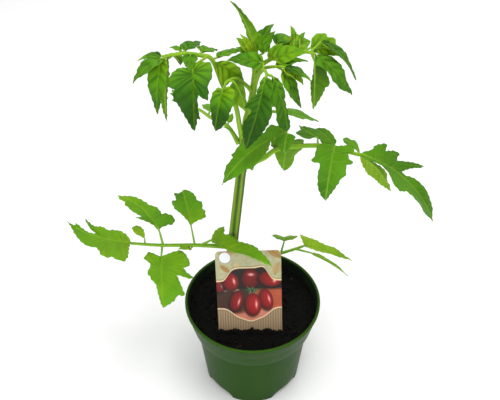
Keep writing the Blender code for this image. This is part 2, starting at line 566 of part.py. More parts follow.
def edge_stations(edge, half, length):
    """An edge's points as (where its side vein leaves the midrib, share of length, reach). The
    veins keep their order, and each one passes clear of the notches beside it."""
    first_share, first_reach = edge[0]
    start = min(0.0, 1.5 * BASE_REACH * first_share / first_reach)
    points = [(start, BASE_REACH)] + edge + [(1.0, 0.0)]
    veins = [0.0] + [share - VEIN_LEAN * reach * half / length for share, reach in edge] + [1.0]
    inner = range(1, len(points) - 1)
    for i in reversed(inner):
        (share, reach), (next_share, next_reach) = points[i], points[i + 1]
        latest = veins[i + 1] - VEIN_SPACING
        if next_reach < reach:
            part = next_reach / reach
            latest = min(latest, (next_share - NOTCH_CLEARANCE - share * part) / (1 - part))
        veins[i] = min(veins[i], latest)
    for i in inner:
        (last_share, last_reach), (share, reach) = points[i - 1], points[i]
        soonest = veins[i - 1] + VEIN_SPACING
        if last_reach < reach:
            part = last_reach / reach
            soonest = max(soonest, (last_share + NOTCH_CLEARANCE - share * part) / (1 - part))
        veins[i] = max(veins[i], soonest)
    return [(vein, *point) for vein, point in zip(veins, points)]


def edge_at(stations, vein):
    """The share of length and the reach of an edge where the side vein from a station ends."""
    for (a, share_a, reach_a), (b, share_b, reach_b) in zip(stations, stations[1:]):
        if vein <= b:
            t = (vein - a) / (b - a)
            return share_a + t * (share_b - share_a), reach_a + t * (reach_b - reach_a)
    return 1.0, 0.0


def blade(base, heading, pitch, length, width, arch, bend, roll, form):
    """A thin curved leaf blade as a closed solid."""
    chord = direction(heading, pitch)
    up = direction(heading, pitch + 90)
    face = Matrix.Rotation(math.radians(roll), 3, chord) @ up
    sideways = chord.cross(face)
    half, fold = width / 2, math.radians(FOLD)
    edges = [edge_stations(edge, half, length) for edge in FORMS[form]]
    veins = []
    for vein in sorted({station[0] for edge in edges for station in edge}):
        if not veins or vein - veins[-1] > MERGED_VEINS:
            veins.append(vein)
    veins[-1] = 1.0
    curve = up * arch + sideways * bend

    sheets = []
    for offset in (-BLADE_THICKNESS / 2, BLADE_THICKNESS / 2):
        sheet = []
        for vein in veins:
            left, right = (edge_at(edge, vein) for edge in edges)
            for side, (share, reach) in ((-1, left), (0, (vein, 0)), (1, right)):
                along = (chord + curve * (4 * (1 - 2 * share))).normalized()
                normal = (face - along * face.dot(along)).normalized()
                across = along.cross(normal)
                outwards = across * (side * math.cos(fold)) + normal * (abs(side) * math.sin(fold))
                midrib = base + chord * (length * share) + curve * (4 * length * share * (1 - share))
                sheet.append(midrib + outwards * (reach * half) + normal * offset)
        sheets.append(sheet[:-2])          # the tip is one point
    count = len(sheets[0])
    rows = (count - 1) // 3
    rim = [3 * i + 2 for i in range(rows)] + [count - 1] + [3 * i for i in range(rows - 1, -1, -1)] + [1]
    faces = []
    for i in range(rows - 1):
        a = 3 * i
        for quad in ((a, a + 1, a + 4, a + 3), (a + 1, a + 2, a + 5, a + 4)):
            faces += [quad[:3], (quad[0], quad[2], quad[3])]
    a = 3 * (rows - 1)
    faces += [(a, a + 1, count - 1), (a + 1, a + 2, count - 1)]
    faces += [tuple(count + v for v in reversed(corners)) for corners in faces]
    for v, w in zip(rim, rim[1:] + rim[:1]):
        faces += [(w, v, count + v), (w, count + v, count + w)]
    return mesh_of(sheets[0] + sheets[1], faces)


def leaf_mesh(axis, radius, leaflets, cutters):
    """One compound leaf: its axis, stalks and blades joined into one body."""
    line = smooth_line(axis, 2)
    taper = [radius * (1 - 0.45 * i / (len(line) - 1)) for i in range(len(line))]
    parts = []
    for at, turn, rise, stalk, heading, pitch, length, width, arch, bend, roll, form in leaflets:
        root = point_at(line, at)
        knee = root + direction(turn, rise) * stalk
        into = knee + direction(heading, pitch + math.degrees(4 * arch) * 0.6) * min(4, 0.25 * length)
        parts.append(tube([root, knee, into], [0.75, 0.65, 0.45], 5))
        parts.append(blade(knee, heading, pitch, length, width, arch, bend, roll, form))
    return combined(tube(line, taper, 6), parts, cutters)


# ---------------------------------------------------------------- the object

def build():
    clear_scene()
    pot_green = finish("pot plastic", (0.045, 0.13, 0.02), 0.4)
    soil_black = finish("potting soil", (0.008, 0.007, 0.006), 0.95)
    label_card = finish("label card", (0.72, 0.62, 0.42), 0.45)
    stem_green = finish("stem skin", (0.2, 0.34, 0.07), 0.6)
    leaf_green = finish("leaf blade", (0.09, 0.27, 0.02), 0.5)
    young_green = finish("young leaf", (0.16, 0.36, 0.03), 0.5)

    place("pot", combined(turned(pot_profile(), POT_SEGMENTS), [], drain_cutters()), pot_green)
    label = plate(label_outline(0), LABEL_THICKNESS, label_place())
    pocket = plate(label_outline(GAP), LABEL_THICKNESS + 2 * GAP, label_place())
    soil = combined(turned(soil_profile(), POT_SEGMENTS), [], [stem_tube(GAP), pocket])
    place("soil", soil, soil_black)
    place("plant_label", label, label_card)
    place("main_stem", stem_tube(0), stem_green)
    for name, (axis, radius, leaflets) in LEAVES.items():
        place(name, leaf_mesh(axis, radius, leaflets, [stem_tube(GAP)]), leaf_green)
    place("growing_tip", leaf_mesh(*GROWING_TIP, []), young_green)


build()
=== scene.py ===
"""The looks of a young tomato plant in a green nursery pot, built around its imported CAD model."""

import math
import random

import bpy
from mathutils import Matrix, Vector, noise


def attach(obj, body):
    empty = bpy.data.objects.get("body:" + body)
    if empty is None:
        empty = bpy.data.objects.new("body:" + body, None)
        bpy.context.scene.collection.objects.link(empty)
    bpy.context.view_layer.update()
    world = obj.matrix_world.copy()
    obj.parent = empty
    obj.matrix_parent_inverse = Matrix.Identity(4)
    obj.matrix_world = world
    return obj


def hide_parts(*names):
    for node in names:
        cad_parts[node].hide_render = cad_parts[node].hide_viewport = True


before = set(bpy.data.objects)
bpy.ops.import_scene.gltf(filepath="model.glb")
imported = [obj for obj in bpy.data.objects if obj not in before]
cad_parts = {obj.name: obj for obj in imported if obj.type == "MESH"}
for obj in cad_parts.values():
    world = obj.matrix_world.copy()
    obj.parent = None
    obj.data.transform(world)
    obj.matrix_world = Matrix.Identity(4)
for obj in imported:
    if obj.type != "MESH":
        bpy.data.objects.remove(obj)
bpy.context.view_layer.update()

# All lengths below are millimetres in the CAD model's frame: origin under the middle of the pot,
# +Z up, the front towards -Y. MM turns them into metres. Angles are degrees.
MM = 0.001
rng = random.Random(7)

# Pot
POT_TOP = 95.0
RIM_RADIUS = 60.6
COLLAR_FOOT_Z = 69.0
COLLAR_FOOT_RADIUS = 54.8
NECK_Z = 65.5
NECK_RADIUS = 51.0
BASE_RADIUS = 44.4
FOOT_RING_RADIUS = 38.0
DRAIN_RISE = 3.5
PAD_RADIUS = 16.0
WALL = 1.1
FLOOR_TOP = 9.0
NOTCH_HEIGHT = 6.5
NOTCH_HALF_ANGLE = 21.0
POT_SEGMENTS = 180

# Soil
SOIL_TOP = 85.0
SOIL_MOUND = 1.6
MOUND_RADIUS = 57.0
SOIL_RADIUS = 56.4
SOIL_HUB = 0.4                # radius of its innermost ring of points
SOIL_GAP = 0.6                # between the soil and the pot's wall below its surface
SOIL_RINGS = 90
SOIL_SEGMENTS = 260
CRUMBS, LABEL_CRUMBS, LABEL_HEAP, FIBRES = 420, 110, 70, 46   # how many of each lie on it

# Label
LABEL_WIDTH = 55.5
LABEL_ABOVE = 75.0
LABEL_BELOW = 30.0
LABEL_STAKE_WIDTH = 24.0
LABEL_SHOULDER = 8.0          # depth below the soil where the label starts to narrow
LABEL_CORNER = 4.0
LABEL_FOOT = (-1.9, -29.5)
LABEL_LEAN = 20.0
LABEL_TILT = -1.7
LABEL_THICKNESS = 0.8
LABEL_COLUMNS = 124
PRINT_STRETCH = 1.063         # height of the printed picture against the heights it is drawn with

# Leaves
BLADE_THICKNESS = 0.4
FOLD = 12.0                   # rise of each half of a blade from its midrib
VEIN_LEAN = 0.75              # how far a side vein runs towards the tip, as a share of its reach
VEIN_SPACING = 0.006          # least gap between side veins on the midrib, in blade lengths
NOTCH_CLEARANCE = 0.045       # room between a side vein and a notch beside it, in blade lengths
BASE_REACH = 0.05             # reach of a blade at its base, in half widths
EDGE_STEP = 0.6               # spacing of the fine points along a blade's edge
EDGE_ROUNDING = 4             # passes that round its lobes
EDGE_WAVE = 0.045             # height of the waves along its edge, in half widths
TOOTH_SPACING = (4.2, 5.4)    # range that each edge takes the spacing of its teeth from
TOOTH_RISE, TOOTH_FALL = 0.7, 0.3           # shares of a tooth before and after its point
ROW_STEP = 1.4                # spacing of a blade's rows of points along its edge
VEIN_GAP = 6.5                # spacing of side veins along the edge
QUILT_DEPTH = 0.3             # swell between two side veins, as a share of the gap between them
QUILT_MOST = 1.7              # greatest swell
TONE_START, TONE_SPAN = 0.25, 0.45          # where along a blade its tone goes from first to last
NARROW_HALF = 5.0             # blades with no more half width than this have fewer columns
WIDE_COLUMNS = (0, 0.05, 0.14, 0.28, 0.44, 0.6, 0.76, 0.89, 1)
NARROW_COLUMNS = (0, 0.12, 0.35, 0.66, 1)
AXIS_STEPS, RIB_STEPS, STEM_STEPS = 7, 4, 14   # between two points of each kind of line
STALK_HAIRS, AXIS_HAIRS = 2.5, 1.6          # for each millimetre
STEM_HAIRS = 1300
TOP, UNDER, STALK, HAIR = range(4)          # material slots of a leaf

# Stage, with places in metres
WORLD_LIGHT = 0.72
KEY_LIGHT = 11.0
FILL_LIGHT = 9.0
BACK_LIGHT = 3.0
CAMERA_PLACE = (-0.0023, -0.4216, 0.563)
CAMERA_TURN = 50              # from looking straight down towards +Y

# Stem: points on its axis and its radius there
STEM = [
    ((-25.5, 12, 52), 1.8),
    ((-24, 12, 82), 4.2),
    ((-17, 12, 152), 4.2),
    ((-9, 12, 232), 3.9),
    ((-5, 12, 275), 2.7),
    ((0, 12, 303), 2.0),
    ((1.5, 12, 325), 1.5),
]

# A form is a blade's left edge and right edge, from base to tip, seen from above with the tip
# ahead. Each point is a percentage of the blade's length, and its reach from the midrib as a
# percentage of the half width.
OVATE = [(5, 62), (24, 100), (50, 84), (78, 40)]
TOOTHED = [(3, 60), (20, 100), (27, 80), (50, 90), (56, 66), (80, 36)]
LOBED = [(2, 60), (16, 100), (22, 68), (46, 80), (50, 52), (74, 40)]
FORMS = {
    "ovate": (OVATE, OVATE),
    "toothed": (TOOTHED, TOOTHED),
    "lobed": (LOBED, LOBED),
    "left_tooth": (TOOTHED, OVATE),
    "wing": (
        [(-4, 27), (-7, 50), (-7, 77), (0, 100), (7, 74), (11, 50), (18, 62), (25, 64), (38, 53),
         (50, 57), (65, 55), (73, 45), (88, 27)],
        [(8, 19), (18, 22), (33, 20), (47, 16), (60, 2), (74, 2), (87, 2)]),
    "oak": (
        [(10, 11), (27, 39), (45, 71), (67, 82), (67, 50), (93, 57), (89, 26)],
        [(4, 22), (7, 50), (8, 77), (13, 96), (19, 83), (24, 99), (34, 78), (43, 89), (51, 85),
         (57, 58), (68, 63), (80, 54), (93, 26)]),
    "eared_right": (
        [(10, 11), (19, 36), (25, 52), (37, 70), (31, 38), (39, 43), (52, 55), (72, 51), (73, 34),
         (80, 26), (92, 23)],
        [(1, 21), (0, 51), (-3, 77), (1, 97), (7, 100), (16, 77), (18, 53), (25, 59), (31, 62),
         (37, 58), (43, 44), (55, 39), (70, 28), (85, 16)]),
    "spread": (
        [(-2, 19), (-6, 39), (-7, 62), (3, 77), (21, 91), (28, 84), (27, 67), (38, 79), (48, 99),
         (51, 90), (45, 67), (39, 46), (50, 53), (80, 71), (79, 58), (78, 46), (87, 38), (94, 19)],
        [(1, 6), (-6, 23), (-11, 43), (-3, 42), (6, 55), (13, 37), (20, 32), (25, 39), (35, 45),
         (40, 35), (47, 32), (55, 18), (68, 15), (86, 8)]),
    "forked": (
        [(2, 30), (4, 78), (7, 100), (14, 97), (18, 86), (22, 96), (28, 92), (32, 69), (36, 57),
         (45, 59), (58, 42), (80, 15)],
        [(5, 26), (14, 43), (25, 43), (32, 32), (40, 38), (54, 37), (80, 41), (43, 8), (63, 9),
         (86, 10), (80, 2)]),
    "sail": (
        [(24, 16), (35, 59), (48, 82), (57, 93), (65, 99), (65, 73), (68, 63), (82, 49), (93, 20)],
        [(1, 21), (4, 38), (10, 69), (19, 52), (34, 39), (44, 52), (54, 65), (70, 53), (68, 38),
         (80, 34), (88, 22)]),
    "maple": (
        [(-1, 28), (-4, 54), (-1, 84), (5, 92), (7, 72), (11, 62), (20, 76), (23, 99), (27, 85),
         (29, 65), (37, 69), (49, 72), (51, 56), (62, 47), (82, 23)],
        [(1, 41), (6, 69), (16, 78), (21, 72), (34, 88), (34, 66), (34, 44), (41, 45), (53, 50),
         (74, 40), (92, 21)]),
    "three_fingers": (
        [(3, 12), (8, 21), (10, 41), (15, 55), (21, 70), (20, 39), (29, 64), (36, 73), (34, 53),
         (34, 36), (46, 68), (61, 99), (59, 83), (48, 42), (43, 19), (47, 13), (58, 28), (75, 31),
         (91, 28)],
        [(2, 17), (13, 24), (20, 24), (27, 45), (33, 74), (43, 81), (50, 61), (63, 68), (83, 44)]),
    "broad_mitten": (
        [(-4, 18), (-5, 47), (-3, 75), (10, 78), (21, 74), (28, 58), (41, 61), (53, 58), (49, 37),
         (44, 22), (42, 15), (54, 16), (69, 17), (82, 27), (78, 12), (90, 8)],
        [(3, 17), (2, 47), (6, 70), (16, 92), (31, 101), (34, 84), (33, 71), (42, 81), (52, 80),
         (56, 63), (67, 50), (82, 27), (97, 9)]),
    "hook": ([(-16, 130), (2, 110), (30, 66), (60, 54)], [(10, 30), (40, 50), (70, 34)]),
    "barbed": (
        [(3, 38), (14, 68), (24, 66), (29, 84), (39, 101), (54, 88), (68, 64), (87, 28)],
        [(4, 16), (12, 26), (23, 30), (34, 54), (45, 78), (44, 53), (44, 25), (55, 46), (66, 56),
         (87, 31)]),
    "spoon": ([(12, 43), (35, 92), (65, 87), (90, 55)], [(18, 54), (43, 97), (69, 92), (92, 55)]),
    "heart": (
        [(3, 67), (14, 100), (34, 88), (63, 60), (88, 31)],
        [(9, 55), (20, 99), (43, 102), (65, 74), (88, 37)]),
    "heart_under": (
        [(-11, 39), (-14, 84), (9, 79), (26, 53), (48, 46), (61, 34), (84, 17)],
        [(3, 40), (29, 99), (55, 91), (71, 64), (89, 55), (101, 27)]),
    "two_spikes": (
        [(6, 36), (15, 83), (29, 88), (44, 102), (55, 19)],
        [(8, 13), (19, 20), (51, 29), (75, 16)]),
    "dome": (
        [(5, 50), (15, 100), (28, 82), (55, 71), (77, 45)],
        [(2, 30), (18, 50), (37, 57), (54, 42), (69, 15), (72, 2)]),
    "ear": ([(14, 41), (41, 90), (66, 98)], [(21, 46), (48, 83), (69, 38), (88, 69)]),
    "lance_under": (
        [(2, 23), (14, 70), (33, 98), (70, 71), (90, 28)],
        [(12, 6), (32, 23), (51, 45), (69, 46), (75, 8), (90, 21)]),
    "backlit": (
        [(14, 32), (37, 50), (63, 48), (81, 25)],
        [(8, 40), (32, 77), (60, 99), (66, 56), (85, 22)]),
    "small_mitten": (
        [(-7, 31), (-3, 69), (7, 89), (19, 76), (26, 99), (41, 83), (64, 74), (87, 42)],
        [(-2, 25), (10, 50), (31, 53), (56, 39), (82, 19)]),
    "dark_right": (
        [(11, 34), (31, 38), (47, 22), (73, 16), (87, 33), (96, 23)],
        [(7, 55), (20, 97), (36, 99), (49, 79), (66, 88), (79, 86), (90, 45)]),
    "lance_toothed": (
        [(-3, 65), (10, 100), (42, 63), (63, 32), (83, 25)],
        [(9, 60), (31, 99), (53, 92), (74, 49)]),
    "broad_lance": (
        [(13, 55), (36, 78), (65, 44), (85, 18)],
        [(20, 101), (37, 72), (55, 96), (75, 80)]),
    "corner": (
        [(19, 15), (50, 36), (79, 31)],
        [(8, 33), (20, 75), (36, 98), (46, 98), (49, 73), (73, 44)]),
    "crest": (
        [(2, 34), (4, 63), (14, 86), (34, 98), (39, 70), (59, 79), (60, 39), (81, 12)],
        [(9, 33), (39, 54), (66, 32)]),
}

# A leaf is the points of its own axis, from the stem's axis outwards; the axis's radius; how
# strongly it is quilted between its veins; and its leaflets. A leaflet is: share of the way along
# the leaf's axis; its stalk's heading, pitch and length; its blade's heading, pitch, length and
# width; how far its midrib arches up, as a share of the length; its tone towards the base and
# towards the tip, from 0 for old dark green to 1 for fresh yellow green; and where they aren't
# "ovate", 0 and 0, its form, how far its midrib bends right as a share of the length, and the
# roll of its face about the midrib. Headings run from +X towards +Y, pitches up from level.
LEAVES = {
    "leaf_1_low_left": (
        [(-17, 12, 146), (-46, 10, 150), (-78, 8, 152), (-102.5, 5, 157)], 1.5, 0.4, [
        (0.33, -33, 45, 17.6, -30, -1, 58.9, 36, 0.05, 0.75, 0.7, "wing", 0.04),
        (0.38, 103, 20, 20.1, 105, 20, 36.3, 32, 0.06, 0.65, 0.5, "oak"),
        (0.39, -150, -35, 4, -149, 22, 12.3, 9, 0.1, 1.0, 0.8),
        (0.69, 108, 12, 17.4, 138, 10, 53.8, 35, 0.07, 0.6, 0.7, "eared_right", 0.05),
        (0.7, -94, -34, 9.9, -85, -33, 43.7, 55, 0.08, 0.7, 0.7, "spread"),
        (0.87, 99, 7, 6.9, 128, 0, 19, 9, 0.06, 0.85, 0.75, "spoon"),
        (1, 142, 13, 1.7, 160, 6, 60.6, 52, 0.05, 0.7, 0.6, "forked", -0.15),
    ]),
    "leaf_2_low_right": (
        [(-19, 12, 128), (7, 15, 130), (25, 18, 133), (37, 20, 136), (45, 22, 138)], 1.3, 0.35, [
        (0.68, 72, 26, 12, 87, -35, 20, 25, 0.08, 0.7, 0.75),
        (0.88, -30, 9, 16, -37, -8, 38, 13, 0.06, 0.85, 0.8, "left_tooth", 0, -40),
        (1, -5, 0, 1, -15, -10, 43, 19, 0.06, 0.95, 0.9, "hook"),
    ]),
    "leaf_3_right": (
        [(-8, 12, 234), (8, 6, 246), (20, 2, 258), (48, -4, 265), (64, -8, 264),
         (77.5, -10, 261)], 1.7, 0.4, [
        (0.42, -78, 70, 19.8, -148, -25, 60.5, 34, 0.12, 0.6, 0.5, "sail"),
        (0.47, -102, 56, 26.5, -105, -49, 14.2, 14, 0.12, 0.5, 0.45, "heart"),
        (0.45, 75, 7, 6.5, 120, -79, 32, 36, 0.05, 0.5, 0.65, "heart_under", 0, 4),
        (0.69, 92, 12, 8.1, 125, -3, 22, 22, 0.1, 0.45, 0.45, "two_spikes", -0.14),
        (0.8, 77, -24, 9, 132, 5, 28.3, 20, 0.12, 0.5, 0.4, "dome"),
        (0.82, -104, 47, 9.9, -107, -61, 41.2, 34, 0.08, 0.5, 0.4, "maple"),
        (0.98, 53, -11, 4.7, 125, 4, 18.7, 10, 0.1, 0.55, 0.55, "ear"),
        (0.98, 13, -29, 4.1, 6, -53, 45.3, 17, 0.08, 0.95, 0.9, "lance_under", 0, 233),
        (1, -29, 27, 2.7, -17, -40, 77.7, 53, 0.09, 0.45, 0.45, "three_fingers", -0.06),
    ]),
    "leaf_4_back_left": (
        [(-11, 12, 256), (-20, 25, 263), (-33, 42, 259), (-43, 58, 256),
         (-52, 68, 254)], 1.3, 0.4, [
        (0.12, -161, 60, 3, -165, 40, 8, 5, 0.05, 0.85, 0.95),
        (0.25, 60, 10, 3, 70, 20, 10, 6, 0.05, 0.6, 0.6),
        (0.62, 78, 0, 6, 72, -25, 30, 20, 0.08, 0.6, 0.6, "toothed"),
        (1, 112, -5, 4, 112, -14, 42, 26, 0.08, 0.6, 0.6, "lobed"),
    ]),
    "leaf_5_upper_left": (
        [(-8, 12, 260), (-10, 9, 273), (-13, 6, 294), (-21, 4, 310), (-28, 2, 332), (-36, 1, 336),
         (-47, 0, 338), (-59, -2, 337)], 1.5, 1.1, [
        (0.7, 38, 5, 4, 40, -9, 27, 9, 0.06, 0.6, 0.65),
        (0.66, -105, 61, 2.9, 19, -41, 28.3, 24, 0.04, 0.85, 0.75, "backlit", 0, 84),
        (0.74, -125, -2, 15.8, -88, -61, 42.8, 34, 0.07, 0.35, -0.05, "broad_mitten"),
        (0.8, 62, -5, 5, 62, -22, 22, 15, 0.06, 0.65, 0.4, "toothed"),
        (0.84, -91, 22, 6, -93, -37, 12, 11, 0.1, 0.4, 0.4),
        (0.88, 132, 5, 4, 135, -9, 12.6, 6, 0.06, 0.65, 0.45),
        (0.9, 66, 0, 4, 66, -11, 24, 13, 0.06, 0.45, 0.3, "toothed"),
        (0.96, 64, -30, 3, 64, -57, 13, 11, 0.08, 0.9, 0.45),
        (0.96, 150, -45, 6, -150, -85, 50, 9, 0.04, 0.9, 0.6, "ovate", 0, 75),
        (0.97, -131, 6, 8, -141, -23, 25.8, 14, 0.08, 0.55, 0.35),
        (1, 180, 5, 3, 176, -14, 17, 9, 0.06, 0.3, 0.6),
        (1, -134, -13, 3.6, -100, -58, 36.8, 17, 0.12, 0.65, 0.3, "left_tooth", 0, 20),
    ]),
    "leaf_6_upper_right": (
        [(2, 12, 320), (10, 10, 327), (18, 8, 332), (28, 5, 337), (36, 2, 338),
         (41, 0, 338)], 1.2, 1.0, [
        (0.24, 33, 56, 12, 28, -3, 13.8, 17, 0.25, 0.4, 0.55),
        (0.24, -55, 40, 4.7, -22, 58, 15.7, 8, 0.1, 0.85, 0.75, "ovate", 0, 94),
        (0.3, -68, 22, 7.4, -21, 23, 24.9, 13, 0.1, 0.75, 0.65, "ovate", 0, 58),
        (0.36, 45, 30, 5, 30, 4, 17, 12, 0.12, 0.9, 0.8),
        (0.4, 12, 40, 9.4, 51, 13, 13.2, 14, 0.1, 0.7, 0.35, "ovate", 0, 5),
        (0.67, 83, 35, 10, 122, 57, 9, 5, 0.05, 0.65, 0.65),
        (0.52, 18, 29, 6.8, 28, 6, 14.8, 18, 0.1, 0.9, 0.7, "toothed", 0, 21),
        (0.77, 87, 45, 8, 51, 25, 7, 4, 0.05, 0.6, 0.45),
        (0.84, 35, 12, 5.8, -5, -13, 25.2, 22, 0.08, 0.8, 0.85, "crest", 0, 43),
        (0.93, 21, 38, 10, -23, -41, 35.1, 18, 0.12, 0.35, 0.4, "left_tooth", 0, -15),
        (0.96, 44, -65, 9.5, 68, -84, 40.6, 22, 0.04, 0.15, 0.5, "corner", 0, 10),
        (1, -75, 2, 2.2, -33, -36, 36.4, 22, 0.14, 0.45, 0.35, "broad_lance", 0.09),
    ]),
    "leaf_7_front": ([(1, 12, 307), (4, 2, 321), (7, -8, 330), (9, -14, 330)], 1.2, 1.15, [
        (0.8, 90, 27, 5.7, 175, 2, 25, 12, 0.06, 0.55, 0.35, "ovate", 0, -46),
        (1, -25, -5, 3.9, -47, -67, 40, 21, 0.07, 0.5, 0.3, "dark_right"),
        (1, -108, -9, 2.5, -130, -66, 52.4, 27, 0.07, 0.35, -0.1, "barbed", -0.07),
    ]),
    "leaf_8_inner_left": (
        [(-1, 12, 302), (-7, 4, 313), (-12, -2, 320), (-18, -6, 320), (-20, -8, 317)], 1.1, 1.1, [
        (0.85, -32, 6, 4, -17, -69, 24.7, 15, 0.05, 0.7, 0.75, "ovate", 0, 202),
        (1, -118, -32, 2.2, -109, -56, 29, 24, 0.08, 0.55, -0.1, "small_mitten"),
    ]),
    "leaf_9_back_right": ([(-5, 12, 276), (7, 22, 277), (21, 32, 271), (27, 36, 267)], 1.1, 0.4, [
        (0.55, 92, 5, 5, 85, -18, 28, 18, 0.08, 0.55, 0.55, "toothed"),
        (1, 82, -33, 1.7, 29, -30, 34.9, 19, 0.02, 0.55, 0.55),
    ]),
    "leaf_10_front_right": ([(1, 12, 312), (7, 6, 323), (13, 0, 328), (19, -5, 331)], 1.1, 1.1, [
        (0.7, -5, 2, 3, -5, 14, 22.7, 13, 0.06, 0.7, 0.55),
        (0.86, -25, -22, 4.3, -33, -57, 29.9, 18, 0.07, 0.7, 0.35, "lance_toothed", 0.05),
        (0.94, -27, -5, 3, -27, -31, 18, 11, 0.06, 1.1, 0.95),
        (1, -29, 0, 3, -29, -15, 20, 9, 0.06, 0.2, 0.55),
    ]),
}
# The young leaves at the growing tip, on a short axis of their own
GROWING_TIP = ([(1.6, 12, 325.5), (2, 12, 330), (2, 12, 336)], 1.2, 0.7, [
    (0.2, -150, 30, 2.5, 167, 27, 14, 9, 0.08, 0.65, 0.55, "ovate", 0, -55),
    (0.3, -36, 40, 9, 154, 72, 14.6, 9, 0.08, 0.6, 0.55, "ovate", 0, -43),
    (0.25, -163, 40, 3, -157, 63, 20.8, 7, 0.05, 1.1, 1.0, "ovate", 0, -57),
    (0.4, 160, 45, 3, 163, 37, 15.6, 10, 0.03, 1.05, 0.95, "ovate", 0, -33),
    (0.5, 75, 45, 3, 68, 32, 17.3, 15, 0.08, 0.55, 0.45),
    (0.6, 170, 60, 3, 171, 65, 38, 13, 0.08, 0.85, 0.35, "ovate", 0, 50),
    (0.75, -29, 50, 3, -33, 52, 21.2, 11, 0.05, 0.7, 0.4, "ovate", 0, 127),
    (0.9, 35, 55, 2, 32, 46, 19, 14, 0.05, 0.45, 0.35),
])


# ---- materials

class Finish:
    """A Principled material whose nodes are made and joined in one call each."""

    def __init__(self, name, roughness, **settings):
        self.material = bpy.data.materials.new(name)
        self.material.use_nodes = True
        self.tree = self.material.node_tree
        self.shader = self.tree.nodes["Principled BSDF"]
        self.shader.inputs["Roughness"].default_value = roughness
        for socket, value in settings.items():
            self.shader.inputs[socket.replace("_", " ")].default_value = value
        self.place = self.tree.nodes.new("ShaderNodeTexCoord").outputs["Object"]

    def node(self, kind, sockets, **properties):
        """A node of a kind with each socket joined to another node's output or set."""
        made = self.tree.nodes.new("ShaderNode" + kind)
        for name, value in properties.items():
            setattr(made, name, value)
        for key, value in sockets.items():
            if isinstance(value, bpy.types.NodeSocket):
                self.tree.links.new(value, made.inputs[key])
            else:
                made.inputs[key].default_value = value
        return made

    def noise(self, scale, detail=3.0, stretch=(1, 1, 1)):
        """Noise from 0 to 1 whose lumps are about 1/scale metres across."""
        place = self.node("Mapping", {"Vector": self.place, "Scale": stretch}).outputs[0]
        sockets = {"Vector": place, "Scale": scale, "Detail": detail}
        return self.node("TexNoise", sockets).outputs[0]

    def value(self, name, output="Fac"):
        """A value that the mesh carries on its points."""
        return self.node("Attribute", {}, attribute_name=name).outputs[output]

    def ramp(self, factor, stops):
        made = self.node("ValToRGB", {"Fac": factor})
        while len(made.color_ramp.elements) < len(stops):
            made.color_ramp.elements.new(0.5)
        for element, (position, colour) in zip(made.color_ramp.elements, stops):
            element.position = position
            element.color = (*colour, 1.0)
        return made.outputs["Color"]

    def mix(self, factor, first, second):
        """One colour socket mixed with a plain colour."""
        sockets = {0: factor, 6: first, 7: (*second, 1.0)}
        return self.node("Mix", sockets, data_type="RGBA").outputs[2]

    def times(self, first, second):
        return self.node("Math", {0: first, 1: second}, operation="MULTIPLY").outputs[0]

    def plus(self, first, second):
        return self.node("Math", {0: first, 1: second}, operation="ADD").outputs[0]

    def spread(self, factor, low, high):
        """A 0 to 1 value moved to the range from low to high."""
        sockets = {"Value": factor, "To Min": low, "To Max": high}
        return self.node("MapRange", sockets).outputs[0]

    def climb(self, low, high):
        """0 at one height of the object and 1 at another, both in millimetres."""
        height = self.node("SeparateXYZ", {0: self.place}).outputs["Z"]
        sockets = {"Value": height, "From Min": low * MM, "From Max": high * MM}
        return self.node("MapRange", sockets).outputs[0]

    def colour(self, socket):
        self.tree.links.new(socket, self.shader.inputs["Base Color"])

    def roughness(self, factor, low, high):
        self.tree.links.new(self.spread(factor, low, high), self.shader.inputs["Roughness"])

    def bump(self, height, distance, strength):
        sockets = {"Height": height, "Distance": distance, "Strength": strength}
        made = self.node("Bump", sockets)
        self.tree.links.new(made.outputs[0], self.shader.inputs["Normal"])


def speckled(name, roughness, scale, detail, stops, shine=0.5):
    """A finish whose colour follows noise."""
    made = Finish(name, roughness, Specular_IOR_Level=shine)
    made.colour(made.ramp(made.noise(scale, detail), stops))
    return made


def leaf_finish(name, roughness, greens, vein, vein_share):
    """Leaf skin coloured by the tone and vein values on the blade's points, with painted shade
    darkening the creases beside the veins.
    """
    made = Finish(name, roughness, Specular_IOR_Level=0.12, Subsurface_Weight=0.1,
                  Subsurface_Radius=(0.5, 1.0, 0.1), Subsurface_Scale=0.001)
    tone = made.plus(made.value("tone"), made.spread(made.noise(70, 4), -0.2, 0.2))
    green = made.ramp(tone, list(zip((0.0, 0.28, 0.58, 0.82, 1.0), greens)))
    mottled = made.mix(made.spread(made.noise(420), 0.0, 0.25), green, greens[2])
    # Painted shade: the creases beside the side veins are mixed towards the darkest green.
    crease_shaded = made.mix(made.times(made.value("cavity"), 0.85), mottled, greens[0])
    made.colour(made.mix(made.times(made.value("vein"), vein_share), crease_shaded, vein))
    made.bump(made.noise(1500), 0.00018, 0.6)
    return made


def leaf_top_finish():
    """Fresh to dark greens, from young leaves to old ones, with pale veins."""
    greens = [(0.005, 0.038, 0.002), (0.024, 0.105, 0.002), (0.09, 0.26, 0.003),
              (0.175, 0.345, 0.004), (0.29, 0.46, 0.012)]
    made = leaf_finish("leaf top", 0.5, greens, (0.24, 0.44, 0.03), 0.75)
    made.roughness(made.noise(300, 2), 0.45, 0.65)
    return made.material


def leaf_under_finish():
    """Duller greens with paler veins."""
    greens = [(0.022, 0.075, 0.003), (0.048, 0.135, 0.004), (0.1, 0.24, 0.006),
              (0.18, 0.36, 0.012), (0.29, 0.47, 0.03)]
    return leaf_finish("leaf underside", 0.65, greens, (0.36, 0.54, 0.1), 0.5).material


